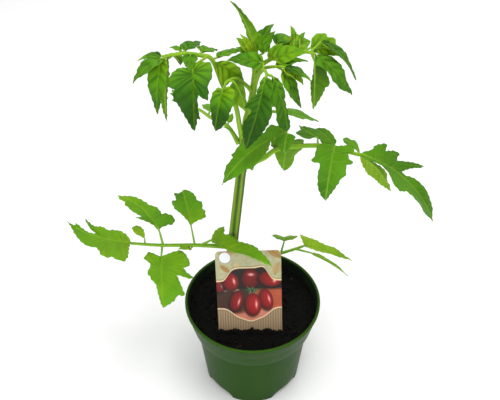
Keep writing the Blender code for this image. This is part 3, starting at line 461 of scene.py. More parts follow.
def stalk_finish(name, pale, deep):
    """Green skin, with painted light on its raised ridges and painted shade in the grooves between
    them, and lighter near the top of the plant, partly fresher young growth and partly painted
    light.
    """
    made = Finish(name, 0.55, Specular_IOR_Level=0.18, Subsurface_Weight=0.1,
                  Subsurface_Radius=(0.5, 1.0, 0.1), Subsurface_Scale=0.0015)
    streaks = made.spread(made.noise(260, 4, (1, 1, 0.25)), -0.3, 0.3)
    middle = tuple((a + b) / 2 for a, b in zip(pale, deep))
    # Painted light and shade: pale on each raised ridge, deep in the grooves between them.
    skin = made.ramp(made.plus(made.value("ridge"), streaks),
                     [(0.0, deep), (0.55, middle), (1.0, pale)])
    # Lighter from 230 to 310 mm up: partly the fresher green of young growth, partly painted light
    # lifting the shaded upper stem.
    made.colour(made.mix(made.times(made.climb(230, 310), 0.75), skin, (0.24, 0.43, 0.015)))
    made.bump(made.noise(900), 0.0002, 0.7)
    return made.material


def hair_finish():
    stops = [(0.2, (0.3, 0.5, 0.08)), (0.8, (0.55, 0.68, 0.25))]
    return speckled("fine hairs", 0.5, 300, 2, stops).material


def pot_finish():
    """Dark green plastic: streaked, with a painted highlight along its lip, scuffed and dusty at
    its foot.
    """
    made = Finish("pot plastic", 0.42, Specular_IOR_Level=0.06)
    stops = [(0.25, (0.010, 0.042, 0.001)), (0.75, (0.014, 0.054, 0.002))]
    plain = made.ramp(made.noise(14), stops)
    streaks = made.spread(made.noise(160, 4, (1, 1, 0.06)), 0.0, 0.3)
    streaked = made.mix(streaks, plain, (0.024, 0.07, 0.006))
    # Painted highlight: the top of the lip is mixed towards a paler green.
    lip = made.climb(POT_TOP - 2.5, POT_TOP - 0.5)
    lip_highlighted = made.mix(made.times(lip, 0.3), streaked, (0.06, 0.15, 0.012))
    scuffs = made.ramp(made.noise(700, 2, (1, 1, 0.15)), [(0.66, (0, 0, 0)), (0.74, (1, 1, 1))])
    worn = made.mix(made.times(scuffs, 0.08), lip_highlighted, (0.15, 0.2, 0.1))
    dust = made.times(made.climb(12, 0), made.spread(made.noise(220, 4), 0.0, 0.45))
    made.colour(made.mix(dust, worn, (0.03, 0.035, 0.02)))
    made.roughness(made.noise(90, 4), 0.3, 0.46)
    made.bump(made.noise(1100, 2), 0.00008, 0.5)
    return made.material


def pot_inside_finish():
    # Near black inside wall: partly painted shade deep in the pot, partly soil stain.
    stops = [(0.35, (0.002, 0.004, 0.002)), (0.75, (0.006, 0.016, 0.004))]
    return speckled("pot inside", 0.7, 120, 4, stops, 0.15).material


def soil_finish():
    stops = [(0.3, (0.0012, 0.001, 0.001)), (0.62, (0.003, 0.0025, 0.0022)),
             (0.8, (0.01, 0.0075, 0.006))]
    made = speckled("potting soil", 0.92, 520, 5, stops, 0.12)
    made.roughness(made.noise(260), 0.7, 1.0)
    made.bump(made.noise(1300, 5), 0.0007, 0.9)
    return made.material


def crumb_finish():
    """Dark crumbs, and paler bits of fibre where the shade value is high."""
    made = Finish("soil crumbs", 0.9, Specular_IOR_Level=0.15)
    made.colour(made.ramp(made.value("shade"), [
        (0.0, (0.0015, 0.0012, 0.001)), (0.7, (0.006, 0.005, 0.004)),
        (0.9, (0.03, 0.02, 0.012)), (1.0, (0.10, 0.065, 0.035))]))
    made.bump(made.noise(1800, 4), 0.0004, 0.9)
    return made.material


def print_finish():
    made = Finish("label print", 0.4, Specular_IOR_Level=0.15)
    grain = made.spread(made.noise(900, 2), 0.0, 0.06)
    made.colour(made.mix(grain, made.value("ink", "Color"), (0.3, 0.25, 0.2)))
    made.roughness(made.noise(120), 0.28, 0.4)
    return made.material


def floor_finish():
    stops = [(0.3, (0.92, 0.92, 0.92)), (0.7, (0.94, 0.94, 0.94))]
    return speckled("pale floor", 0.85, 3, 2, stops).material


# ---- building pieces

class Shape:
    """Points, faces and values of one piece, gathered from its parts."""

    def __init__(self):
        self.points, self.faces, self.slots = [], [], []
        self.values = {}

    def add(self, points, faces, slots=0, **values):
        """slots is one material slot or a list with each face's. A value is one number or a list
        with each point's."""
        first = len(self.points)
        self.points += points
        self.faces += [tuple(first + i for i in face) for face in faces]
        self.slots += slots if isinstance(slots, list) else [slots] * len(faces)
        for name in set(values) | set(self.values):
            row = self.values.setdefault(name, [0.0] * first)
            value = values.get(name, 0.0)
            row += value if isinstance(value, list) else [value] * len(points)


def piece(name, shape, materials, record_slot, *nodes):
    mesh = bpy.data.meshes.new(name)
    mesh.from_pydata([Vector(p) * MM for p in shape.points], [], shape.faces)
    mesh.polygons.foreach_set("material_index", shape.slots)
    mesh.polygons.foreach_set("use_smooth", [True] * len(shape.faces))
    for key, values in shape.values.items():
        if values and isinstance(values[0], tuple):
            layer = mesh.attributes.new(key, "FLOAT_COLOR", "POINT")
            layer.data.foreach_set("color", [number for value in values for number in value])
        else:
            mesh.attributes.new(key, "FLOAT", "POINT").data.foreach_set("value", values)
    for material in materials:
        mesh.materials.append(material)
    made = bpy.data.objects.new(name, mesh)
    bpy.context.collection.objects.link(made)
    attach(made, "root")
    if nodes:
        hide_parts(*nodes)


def flipped(faces):
    return [tuple(reversed(face)) for face in faces]


def grid_faces(rows, columns, wrap=False):
    """Quads of a grid whose points run row by row; wrap joins the last column to the first."""
    faces = []
    for i in range(rows - 1):
        for j in range(columns if wrap else columns - 1):
            a, b = i * columns + j, i * columns + (j + 1) % columns
            faces.append((a, b, b + columns, a + columns))
    return faces


def ring_faces(rows, around):
    """Faces of a closed shape made of rings of points, with a cap at each end."""
    count = rows * around
    caps = [tuple(reversed(range(around))), tuple(range(count - around, count))]
    return grid_faces(rows, around, wrap=True) + caps


def slab_faces(rows, columns):
    """Faces of a closed slab: a top grid, a bottom grid after it, and the rim between them."""
    top = grid_faces(rows, columns)
    count = rows * columns
    faces = top + [tuple(count + i for i in face) for face in flipped(top)]
    rim = list(range(columns))
    rim += [i * columns + columns - 1 for i in range(1, rows)]
    rim += [(rows - 1) * columns + j for j in range(columns - 2, -1, -1)]
    rim += [i * columns for i in range(rows - 2, 0, -1)]
    for a, b in zip(rim, rim[1:] + rim[:1]):
        faces.append((b, a, count + a, count + b))
    return faces


def direction(heading, pitch):
    h, p = math.radians(heading), math.radians(pitch)
    return Vector((math.cos(p) * math.cos(h), math.cos(p) * math.sin(h), math.sin(p)))


def on_circle(radius, angle, z=0.0):
    return radius * math.cos(angle), radius * math.sin(angle), z


def curve_through(points, steps):
    """Points on a smooth curve through the given ones, with this many steps between two."""
    points = [Vector(p) for p in points]
    ends = [2 * points[0] - points[1]] + points + [2 * points[-1] - points[-2]]
    line = []
    for a, b, c, d in zip(ends, ends[1:], ends[2:], ends[3:]):
        for k in range(steps):
            t = k / steps
            line.append(0.5 * (2 * b + (c - a) * t + (2 * a - 5 * b + 4 * c - d) * t ** 2
                               + (3 * b - a - 3 * c + d) * t ** 3))
    return line + [points[-1]]


def step_lengths(line):
    return [(b - a).length for a, b in zip(line, line[1:])]


def point_at(line, share):
    """The point at a share of a line's length."""
    lengths = step_lengths(line)
    left = share * sum(lengths)
    for a, b, length in zip(line, line[1:], lengths):
        if left <= length:
            return a + (b - a) * (left / length)
        left -= length
    return line[-1].copy()


def rings_along(line):
    """Each point of a line with its direction and two more at right angles, without twist."""
    rings = []
    side = None
    for i, point in enumerate(line):
        ahead = (line[min(i + 1, len(line) - 1)] - line[max(i - 1, 0)]).normalized()
        if side is None:
            side = ahead.cross(Vector((0.3, 1, 0.2))).normalized()
        side = (side - ahead * side.dot(ahead)).normalized()
        rings.append((point, ahead, side, ahead.cross(side)))
    return rings


def tube(shape, line, radii, sides, slot, ridges=3, depth=0.0, twist=0.0, **values):
    """A round or ridged closed tube along a line."""
    points, ridge = [], []
    for i, (point, _, side, over) in enumerate(rings_along(line)):
        for k in range(sides):
            angle = math.tau * k / sides
            wave = math.cos(ridges * angle + twist * i)
            reach = radii[i] * (1 + depth * wave)
            points.append(point + (side * math.cos(angle) + over * math.sin(angle)) * reach)
            # ridge is 1 on each crest and 0 in each groove; the stalk finish paints light and shade
            # from it.
            ridge.append(0.5 + 0.5 * wave)
    shape.add(points, ring_faces(len(line), sides), slot, ridge=ridge, **values)


def hairs(shape, line, radii, count, length, slot):
    """Fine pointed hairs standing all round a tube."""
    rings = rings_along(line)
    for _ in range(count):
        i = rng.randrange(len(rings) - 1)
        t = rng.random()
        point, ahead, side, over = rings[i]
        centre = point.lerp(rings[i + 1][0], t)
        radius = radii[i] + (radii[i + 1] - radii[i]) * t
        angle = rng.uniform(0, math.tau)
        out = side * math.cos(angle) + over * math.sin(angle)
        across = ahead.cross(out) * 0.08
        foot = centre + out * (radius * 0.93)
        tip = foot + (out + ahead * rng.uniform(-0.35, 0.35)) * (length * rng.uniform(0.6, 1.2))
        behind = foot - ahead * 0.05
        shape.add([foot + ahead * 0.09, behind + across, behind - across, tip],
                  [(0, 2, 1), (0, 1, 3), (1, 2, 3), (2, 0, 3)], slot)


# ---- leaves

def passing(point, notch, clearance):
    """Where a side vein to an edge point leaves the midrib if it passes a notch by a clearance."""
    part = notch[1] / point[1]
    return (notch[0] + clearance - point[0] * part) / (1 - part)


def edge_stations(edge, half, length):
    """An edge's points as (where its side vein leaves the midrib, share of length, reach). The
    veins keep their order, and each one passes clear of the notches beside it."""
    first_share, first_reach = edge[0]
    start = min(0.0, 1.5 * BASE_REACH * first_share / first_reach)
    points = [(start, BASE_REACH)] + edge + [(1.0, 0.0)]
    veins = [0.0] + [share - VEIN_LEAN * reach * half / length for share, reach in edge] + [1.0]
    inner = range(1, len(points) - 1)
    for i in reversed(inner):
        latest = veins[i + 1] - VEIN_SPACING
        if points[i + 1][1] < points[i][1]:
            latest = min(latest, passing(points[i], points[i + 1], -NOTCH_CLEARANCE))
        veins[i] = min(veins[i], latest)
    for i in inner:
        soonest = veins[i - 1] + VEIN_SPACING
        if points[i - 1][1] < points[i][1]:
            soonest = max(soonest, passing(points[i], points[i - 1], NOTCH_CLEARANCE))
        veins[i] = max(veins[i], soonest)
    return [(vein, *point) for vein, point in zip(veins, points)]


def at_place(line, i, t):
    """Values part way between a line's point i and the next."""
    return tuple(a + (b - a) * t for a, b in zip(line[i], line[i + 1]))


def evenly(line):
    """A line of (vein, along, out) resampled every EDGE_STEP of distance along it."""
    lengths = [math.dist(a[1:], b[1:]) for a, b in zip(line, line[1:])]
    count = max(8, round(sum(lengths) / EDGE_STEP))
    fine, i, done = [], 0, 0.0
    for k in range(count + 1):
        at = min(sum(lengths) * k / count, sum(lengths) - 1e-9)
        while at > done + lengths[i] and i < len(lengths) - 1:
            done += lengths[i]
            i += 1
        fine.append(at_place(line, i, (at - done) / lengths[i]))
    return fine


def vein_ends(fine):
    """Places along an edge where side veins end: at each lobe's peak, and evenly between."""
    total = len(fine) - 1
    peaks = [0]
    for i in range(2, total - 2):
        if fine[i][2] >= max(fine[i - 2][2], fine[i + 2][2]) and i - peaks[-1] > 4:
            peaks.append(i)
    peaks.append(total)
    ends = []
    for a, b in zip(peaks, peaks[1:]):
        parts = max(1, round((b - a) * EDGE_STEP / VEIN_GAP))
        ends += [a + (b - a) * k / parts for k in range(parts)]
    return ends + [total]


def edge_line(edge, half, length):
    """A blade's edge as fine points (vein, along, out), with rounded lobes and small teeth,
    and the places on it where side veins end."""
    stations = edge_stations(edge, half, length)
    fine = evenly([(vein, share * length, reach * half) for vein, share, reach in stations])
    for _ in range(EDGE_ROUNDING):
        inner = [tuple((a + 2 * b + c) / 4 for a, b, c in zip(*three))
                 for three in zip(fine, fine[1:], fine[2:])]
        fine = fine[:1] + inner + fine[-1:]
    fine = evenly(fine)

    period = rng.uniform(*TOOTH_SPACING)
    size = min(0.95, 0.25 + 0.013 * length)
    start = rng.random()
    total = len(fine) - 1
    toothed = []
    for i, (vein, along, out) in enumerate(fine):
        before, after = fine[max(i - 1, 0)], fine[min(i + 1, total)]
        ahead = (after[1] - before[1], after[2] - before[2])
        norm = math.hypot(*ahead) or 1.0
        turn = (i * EDGE_STEP / period + start) % 1.0
        rise = turn / TOOTH_RISE if turn < TOOTH_RISE else (1 - turn) / TOOTH_FALL
        fade = min(1.0, i * EDGE_STEP / 4, (total - i) * EDGE_STEP / 4)
        shift = size * (rise - 0.4) * fade
        toothed.append((vein, along - ahead[1] / norm * shift,
                        max(out + ahead[0] / norm * shift, 0.06)))
    return toothed, vein_ends(fine)


class Midrib:
    """The curve that a blade is built on, and the directions of its face along it."""

    def __init__(self, base, heading, pitch, length, arch, bend, roll):
        self.base, self.length = base, length
        self.chord = direction(heading, pitch)
        up = direction(heading, pitch + 90)
        self.face = Matrix.Rotation(math.radians(roll), 3, self.chord) @ up
        self.curve = up * arch + self.chord.cross(self.face) * bend

    def at(self, along):
        """The point, the face's normal and the direction to the right at a distance along."""
        share = along / self.length
        point = self.base + self.chord * along + self.curve * (4 * along * (1 - share))
        ahead = (self.chord + self.curve * (4 * (1 - 2 * share))).normalized()
        normal = (self.face - ahead * self.face.dot(ahead)).normalized()
        return point, normal, ahead.cross(normal)


def half_blade(shape, midrib, side, edge, half, tone, quilt):
    """One half of a leaf blade as a closed thin slab: quilted between its side veins, curled
    along its edge. side is -1 for the left half and 1 for the right."""
    length, fold = midrib.length, math.radians(FOLD)
    line, ends = edge_line(edge, half, length)
    columns = WIDE_COLUMNS if half > NARROW_HALF else NARROW_COLUMNS
    wave, wave_start = rng.uniform(1.6, 2.6), rng.uniform(0, math.tau)
    top, bottom, veins, painted_crease_shades, tones = [], [], [], [], []

    def edge_at(place):
        i = min(int(place), len(line) - 2)
        return at_place(line, i, place - i)

    for a, b in zip(ends, ends[1:]):
        edge_gap = (b - a) * EDGE_STEP
        rib_gap = (edge_at(b)[0] - edge_at(a)[0]) * length
        parts = max(3, math.ceil(edge_gap / ROW_STEP))
        fullness = quilt * rng.uniform(0.6, 1.15)
        for k in range(parts + (b == ends[-1])):
            t = k / parts
            t = (t + 0.5 - 0.5 * math.cos(math.pi * t)) / 2
            vein, along, out = edge_at(a + (b - a) * t)
            for w in columns:
                # A vein runs from vein * length on the midrib to the edge, w of the way out
                gap = rib_gap * (1 - w) + edge_gap * w
                x = vein * length + (along - vein * length) * w ** 1.15
                y = out * w
                point, normal, right = midrib.at(x)
                share = x / length
                # It swells between its veins, folds up from the midrib and waves at its edge
                crease = fullness * (1 - 0.75 * max(0.0, share) ** 1.5)
                swell = crease * min(QUILT_DEPTH * gap, QUILT_MOST) * math.sin(math.pi * t) ** 0.75
                height = swell * (1 - math.exp(-7 * w)) * (1 - 0.5 * w * w)
                height += y * math.sin(fold) * (1.3 - 0.55 * y / half)
                curl = math.sin(wave * math.tau * x / length + wave_start)
                height += EDGE_WAVE * half * w * w * curl
                height += 0.25 * noise.noise(point * 0.22)
                spot = point + right * (side * y * math.cos(fold)) + normal * height
                top.append(spot)
                bottom.append(spot - normal * (BLADE_THICKNESS * (1 - 0.45 * w)))

                near = min(t, 1 - t) * gap          # distance from the nearest side vein
                midst = math.exp(-(y / 0.5) ** 2)   # 1 on the midrib
                beside = math.exp(-(near / 0.45) ** 2) * (1 - 0.8 * w)
                veins.append(max((0.6 - 0.5 * quilt) * beside, (1.2 - 0.7 * quilt) * midst))
                # Painted shade in the creases beside each side vein, weaker towards the tip and the
                # edge.
                painted_crease_shades.append(crease * (1 - midst) * math.exp(-near ** 2) * (1 - 0.65 * w))
                tones.append(tone[0] + (tone[1] - tone[0]) * (share - TONE_START) / TONE_SPAN
                             + 0.06 * noise.noise(point * 0.08))
    rows = len(top) // len(columns)
    faces = slab_faces(rows, len(columns))
    if side < 0:
        faces = flipped(faces)
    count = (rows - 1) * (len(columns) - 1)
    shape.add(top + bottom, faces, [TOP] * count + [UNDER] * (len(faces) - count),
              tone=tones * 2, vein=veins * 2, cavity=painted_crease_shades * 2)


def leaflet(shape, line, quilt, at, turn, rise, stalk, heading, pitch, length, width, arch,
            base_tone, tip_tone, form="ovate", bend=0, roll=0):
    """A leaflet: its stalk, which runs on as the midrib, and the two halves of its blade."""
    root = point_at(line, at)
    knee = root + direction(turn, rise) * stalk
    midrib = Midrib(knee, heading, pitch, length, arch, bend, roll)
    for side, percentages in zip((-1, 1), FORMS[form]):
        edge = [(along / 100, reach / 100) for along, reach in percentages]
        shift = rng.uniform(-0.04, 0.04)
        tone = (base_tone + shift, tip_tone + shift)
        half_blade(shape, midrib, side, edge, width / 2, tone, quilt)
    thick = 0.4 + 0.007 * length
    bends = [root, root.lerp(knee, 0.55), knee]
    for share in (0.08, 0.2, 0.35, 0.5, 0.65, 0.8, 0.93):
        point, normal, _ = midrib.at(share * length)
        bends.append(point - normal * (0.12 + 0.85 * thick * (1 - share)))
    rib = curve_through(bends, RIB_STEPS)
    last = 2 * RIB_STEPS                    # the stalk ends at the knee, and the midrib tapers
    radii = [thick + 0.4 - 0.05 * i for i in range(last + 1)]
    radii += [thick * (1 - (i - last) / (len(rib) - last)) + 0.1 for i in range(last + 1, len(rib))]
    tube(shape, rib, radii, 8, STALK, ridges=2, depth=0.06)
    hairs(shape, rib[:last + 1], radii[:last + 1], round(stalk * STALK_HAIRS), 0.8, HAIR)


def leaf(axis, radius, quilt, leaflets):
    """One compound leaf with its axis, leaflets and hairs."""
    shape = Shape()
    line = curve_through(axis, AXIS_STEPS)
    radii = []
    for i, point in enumerate(line):
        share = i / (len(line) - 1)
        flare = 0.7 * math.exp(-(point - line[0]).length / 5)
        radii.append(radius * (1.3 - 0.5 * share) + flare)
    tube(shape, line, radii, 12, STALK, ridges=3, depth=0.07)
    hairs(shape, line, radii, round(AXIS_HAIRS * sum(step_lengths(line))), 1.1, HAIR)
    for data in leaflets:
        leaflet(shape, line, quilt, *data)
    return shape


# ---- stem

def stem_shape():
    """The main stem: softly ridged, swollen where leaves leave it, with fine hairs."""
    shape = Shape()
    line = curve_through([point for point, _ in STEM], STEM_STEPS)
    joints = [axis[0][2] for axis, *_ in LEAVES.values()]
    radii = []
    for i, point in enumerate(line):
        k = min(i // STEM_STEPS, len(STEM) - 2)
        share = (i - STEM_STEPS * k) / STEM_STEPS
        radius = STEM[k][1] * (1 - share) + STEM[k + 1][1] * share
        swelling = max(0.45 * math.exp(-((point.z - z) / 4.5) ** 2) for z in joints)
        radii.append(radius + swelling + 0.12 * noise.noise(Vector((0, 0, point.z * 0.11))))
    radii[-1] *= 0.6
    tube(shape, line, radii, 30, 0, ridges=5, depth=0.055, twist=0.035)
    low = next(i for i, point in enumerate(line) if point.z > SOIL_TOP)
    hairs(shape, line[low:], radii[low:], STEM_HAIRS, 1.2, 1)
    return shape


# ---- pot and soil

def wall_at(z):
    """The pot wall's outer radius on its plain lower part."""
    return BASE_RADIUS + (NECK_RADIUS - BASE_RADIUS) * z / NECK_Z


def pot_shape():
    """The pot, turned from a profile of (radius, height, lift at the middle of a notch)."""
    under = [
        (PAD_RADIUS * 0.5, 0, 0), (PAD_RADIUS, 0, 0), (PAD_RADIUS + 1.5, DRAIN_RISE, 0),
        (FOOT_RING_RADIUS - 1.5, DRAIN_RISE, 0), (FOOT_RING_RADIUS - 0.2, 0.2, DRAIN_RISE - 0.3),
        (FOOT_RING_RADIUS + 0.4, 0, DRAIN_RISE), (BASE_RADIUS - 1.4, 0, NOTCH_HEIGHT - 0.6),
        (BASE_RADIUS - 0.5, 0.15, NOTCH_HEIGHT),
    ]
    wall = [(wall_at(z), z, NOTCH_HEIGHT * max(0.0, 1 - z / 16) ** 1.5)
            for z in (0.8, 2, 4, 7, 11, 16, 24, 36, 50, 62)]
    collar = [
        (NECK_RADIUS, NECK_Z), (NECK_RADIUS + 0.5, NECK_Z + 0.5),
        (COLLAR_FOOT_RADIUS - 1.4, NECK_Z + 1.6), (COLLAR_FOOT_RADIUS - 0.4, COLLAR_FOOT_Z - 0.8),
        (COLLAR_FOOT_RADIUS + 0.1, COLLAR_FOOT_Z + 0.8), (57.3, 80),
    ]
    # The rolled lip: how far in from the rim and down from the top
    lip = [(1.5, 4.2), (0.5, 3.6), (0, 2.6), (0, 1), (0.3, 0.3), (0.9, 0), (1.7, 0.2)]
    inside = [
        (RIM_RADIUS - 2.3, POT_TOP - 0.9), (RIM_RADIUS - 2.8, POT_TOP - 4),
        (COLLAR_FOOT_RADIUS - WALL, COLLAR_FOOT_Z), (NECK_RADIUS - WALL, NECK_Z),
        (wall_at(30) - WALL, 30), (wall_at(FLOOR_TOP) - WALL, FLOOR_TOP),
        (PAD_RADIUS, FLOOR_TOP), (PAD_RADIUS * 0.5, FLOOR_TOP),
    ]
    turned = collar + [(RIM_RADIUS - back, POT_TOP - down) for back, down in lip] + inside
    profile = under + wall + [(radius, z, 0) for radius, z in turned]
    points = []
    for radius, z, lift in profile:
        for k in range(POT_SEGMENTS):
            angle = math.tau * k / POT_SEGMENTS
            off = abs((math.degrees(angle) % 90) - 45) / NOTCH_HALF_ANGLE
            points.append(on_circle(radius, angle, z + lift * max(0.0, 1 - off ** 4)))
    faces = ring_faces(len(profile), POT_SEGMENTS)
    inner = (len(profile) - len(inside)) * POT_SEGMENTS
    shape = Shape()
    # Faces inside the pot below the lip take slot 1, darkened as painted shade and soil stain.
    shape.add(points, faces, [1 if min(face) >= inner else 0 for face in faces])
    return shape


def soil_height(x, y):
    """The soil surface's height: a low mound, broken up into crumbs."""
    away = math.hypot(x, y) / MOUND_RADIUS
    lumps = noise.fractal(Vector((x * 0.16, y * 0.16, 3.1)), 1.0, 2.1, 5)
    crumbs = noise.noise(Vector((x * 0.75, y * 0.75, 9.2)))
    return SOIL_TOP + SOIL_MOUND * (1 - away ** 2) + 0.9 * lumps + 0.55 * crumbs - 0.4


def soil_shape():
    """The soil: its surface from the middle out, then its side and its bottom."""
    below = [
        (SOIL_RADIUS - 0.8, 80), (COLLAR_FOOT_RADIUS - WALL - SOIL_GAP, COLLAR_FOOT_Z + 0.5),
        (NECK_RADIUS - WALL - SOIL_GAP, NECK_Z),
        (wall_at(FLOOR_TOP) - WALL - SOIL_GAP, FLOOR_TOP + 0.5), (PAD_RADIUS, FLOOR_TOP + 0.5),
    ]
    angles = [math.tau * k / SOIL_SEGMENTS for k in range(SOIL_SEGMENTS)]
    points = []
    for i in range(SOIL_RINGS):
        radius = SOIL_HUB + (SOIL_RADIUS - SOIL_HUB) * i / (SOIL_RINGS - 1)
        for angle in angles:
            x, y, _ = on_circle(radius, angle)
            points.append((x, y, soil_height(x, y)))
    points += [on_circle(radius, angle, z) for radius, z in below for angle in angles]
    shape = Shape()
    shape.add(points, flipped(ring_faces(SOIL_RINGS + len(below), SOIL_SEGMENTS)))
    return shape


def lump(shape, x, y, raised, size, squash, shade):
    """An irregular crumb: a small ball of points pushed in and out by noise."""
    rows, around = 7, 9
    centre = Vector((x, y, soil_height(x, y) + raised))
    seed = Vector([rng.uniform(0, 90) for _ in range(3)])
    stretch = Vector((rng.uniform(0.7, 1.3), rng.uniform(0.7, 1.3), squash))
    spin = (Matrix.Rotation(rng.uniform(0, math.tau), 3, "Z")
            @ Matrix.Rotation(rng.uniform(-0.5, 0.5), 3, "X"))
    points = []
    for i in range(rows):
        height = math.pi * (i + 0.35) / (rows - 0.3)
        for k in range(around):
            out = Vector(on_circle(math.sin(height), math.tau * k / around, math.cos(height)))
            reach = 1 + 0.55 * noise.noise(seed + out * 1.6) + 0.25 * noise.noise(seed + out * 4)
            ball = Vector([o * s for o, s in zip(out, stretch)])
            points.append(centre + spin @ (ball * (size * reach)))
    shape.add(points, flipped(ring_faces(rows, around)), shade=shade)


def anywhere(radius):
    """A random place on the soil within a radius of its middle."""
    away = radius * math.sqrt(rng.random())
    x, y, _ = on_circle(away, rng.uniform(0, math.tau))
    return x, y


def crumbs_shape():
    """Loose crumbs and bits of fibre on the soil, and the soil heaped against the label."""
    shape = Shape()
    for _ in range(CRUMBS):
        x, y = anywhere(55.5)
        size = 0.45 + 1.5 * rng.random() ** 2.2
        lump(shape, x, y, size * 0.2, size, rng.uniform(0.5, 0.9), rng.random() ** 3 * 0.9)
    for _ in range(LABEL_CRUMBS):
        x = LABEL_FOOT[0] + rng.uniform(-30, 30)
        y = LABEL_FOOT[1] - rng.uniform(0.6, 3.4)
        size = rng.uniform(0.6, 1.5)
        lump(shape, x, y, size * 0.3, size, rng.uniform(0.6, 1.1), rng.random() ** 3 * 0.7)
    for _ in range(LABEL_HEAP):
        across = rng.uniform(-16, 18)
        y = LABEL_FOOT[1] - rng.uniform(1.5, 3.5)
        size = rng.uniform(0.7, 1.9)
        heap = rng.uniform(0, 3.4) * max(0.0, math.sin(across * 0.45 + 1.2))
        lump(shape, LABEL_FOOT[0] + across, y, heap, size, rng.uniform(0.7, 1.1),
             rng.random() ** 3 * 0.5)
    for _ in range(FIBRES):
        x, y = anywhere(54)
        heading = rng.uniform(0, 180)
        length = rng.uniform(2.5, 7)
        start = Vector((x, y, soil_height(x, y) + 0.3))
        middle = start + direction(heading, rng.uniform(-4, 20)) * length * 0.5
        heading += rng.uniform(-35, 35)
        end = middle + direction(heading, rng.uniform(-30, 5)) * length * 0.5
        if math.hypot(end.x, end.y) > 55:
            continue
        line = curve_through([start, middle, end], 4)
        thick = rng.uniform(0.14, 0.34)
        radii = [thick * (1 - 0.5 * abs(i / (len(line) - 1) - 0.5)) for i in range(len(line))]
        tube(shape, line, radii, 5, 0, shade=rng.uniform(0.55, 1.0))
    return shape


# ---- label

def step(value, width=0.3):
    """1 inside, 0 outside and smooth between, for a distance in millimetres to an edge."""
    t = min(1.0, max(0.0, value / width + 0.5))
    return t * t * (3 - 2 * t)


def blend(under, over, amount):
    return tuple(a + (b - a) * amount for a, b in zip(under, over))


def turned_by(x, z, centre_x, centre_z, turn):
    """A place on the print as seen from a turned mark's centre."""
    c, s = math.cos(math.radians(turn)), math.sin(math.radians(turn))
    x, z = x - centre_x, z - centre_z
    return x * c + z * s, -x * s + z * c


def oval(x, z, centre_x, centre_z, wide, tall, turn):
    """Position inside an oval, in shares of its half sizes, and the distance inside its edge."""
    u, v = turned_by(x, z, centre_x, centre_z, turn)
    u, v = u / wide, v / tall
    return u, v, (1 - math.hypot(u, v)) * min(wide, tall)


# Places on the print are (across from the label's middle, height above the soil). Plain printed
# leaves: centre, half length, half width, turn, colour
PRINTED_LEAVES = [
    (21.5, 68.6, 9.5, 3.2, -38, (0.62, 0.49, 0.27)),
    (-17.5, 68.8, 8.0, 2.6, 6, (0.66, 0.56, 0.36)),
    (-19.8, 54.8, 5.6, 2.2, -38, (0.62, 0.49, 0.27)),
    (-9.8, 57.6, 3.6, 1.9, 80, (0.76, 0.68, 0.48)),
    (24.0, 54.0, 6.4, 3.4, 70, (0.66, 0.57, 0.38)),
]
# Printed tomatoes: centre, half width, half height, turn, brightness
TOMATOES = [
    (-25.5, 39.5, 5.5, 5.5, 10, 0.75), (-15.5, 43.5, 7.0, 8.0, 12, 0.85),
    (1.5, 45.8, 9.0, 7.6, 86, 0.7), (18.0, 45.2, 9.8, 6.6, -14, 0.9),
    (-11.2, 26.2, 5.4, 9.4, -16, 0.85), (14.6, 27.2, 5.5, 9.6, 14, 0.95),
    (3.0, 22.8, 6.9, 10.2, 2, 1.0),
]
CALYX = (1.8, 35.2)
CALYX_WIDE, CALYX_TALL = 8.0, 5.4


def paper_ink(x, z):
    """The label's ground: cream above, striped below, with small leaves and a pale spot."""
    grain = noise.noise(Vector((x * 0.35, z * 0.35, 4.0)))
    ink = blend((0.69, 0.69, 0.55), (0.61, 0.60, 0.45), 0.5 + 0.5 * grain)
    if z < 30:
        stripe = 0.5 + 0.5 * math.sin(x * 2.9 + 0.6 * noise.noise(Vector((x * 0.3, z * 0.05, 1))))
        ink = blend((0.63, 0.54, 0.43), (0.48, 0.40, 0.29), stripe)
    for centre_x, centre_z, length, width, turn, colour in PRINTED_LEAVES:
        u, v = turned_by(x, z, centre_x, centre_z, turn)
        u /= length
        inside = step(width * (1 - u * u) - abs(v) if abs(u) < 1 else -1.0)
        ink = blend(ink, colour, inside)
        ink = blend(ink, tuple(0.7 * k for k in colour), 0.6 * step(0.25 - abs(v)) * inside)
    spot = 4.7 - math.hypot(x + 19.6, z - 64.6)
    ink = blend(ink, (0.45, 0.43, 0.36), step(spot + 0.35))
    return blend(ink, (0.88, 0.89, 0.90), step(spot))


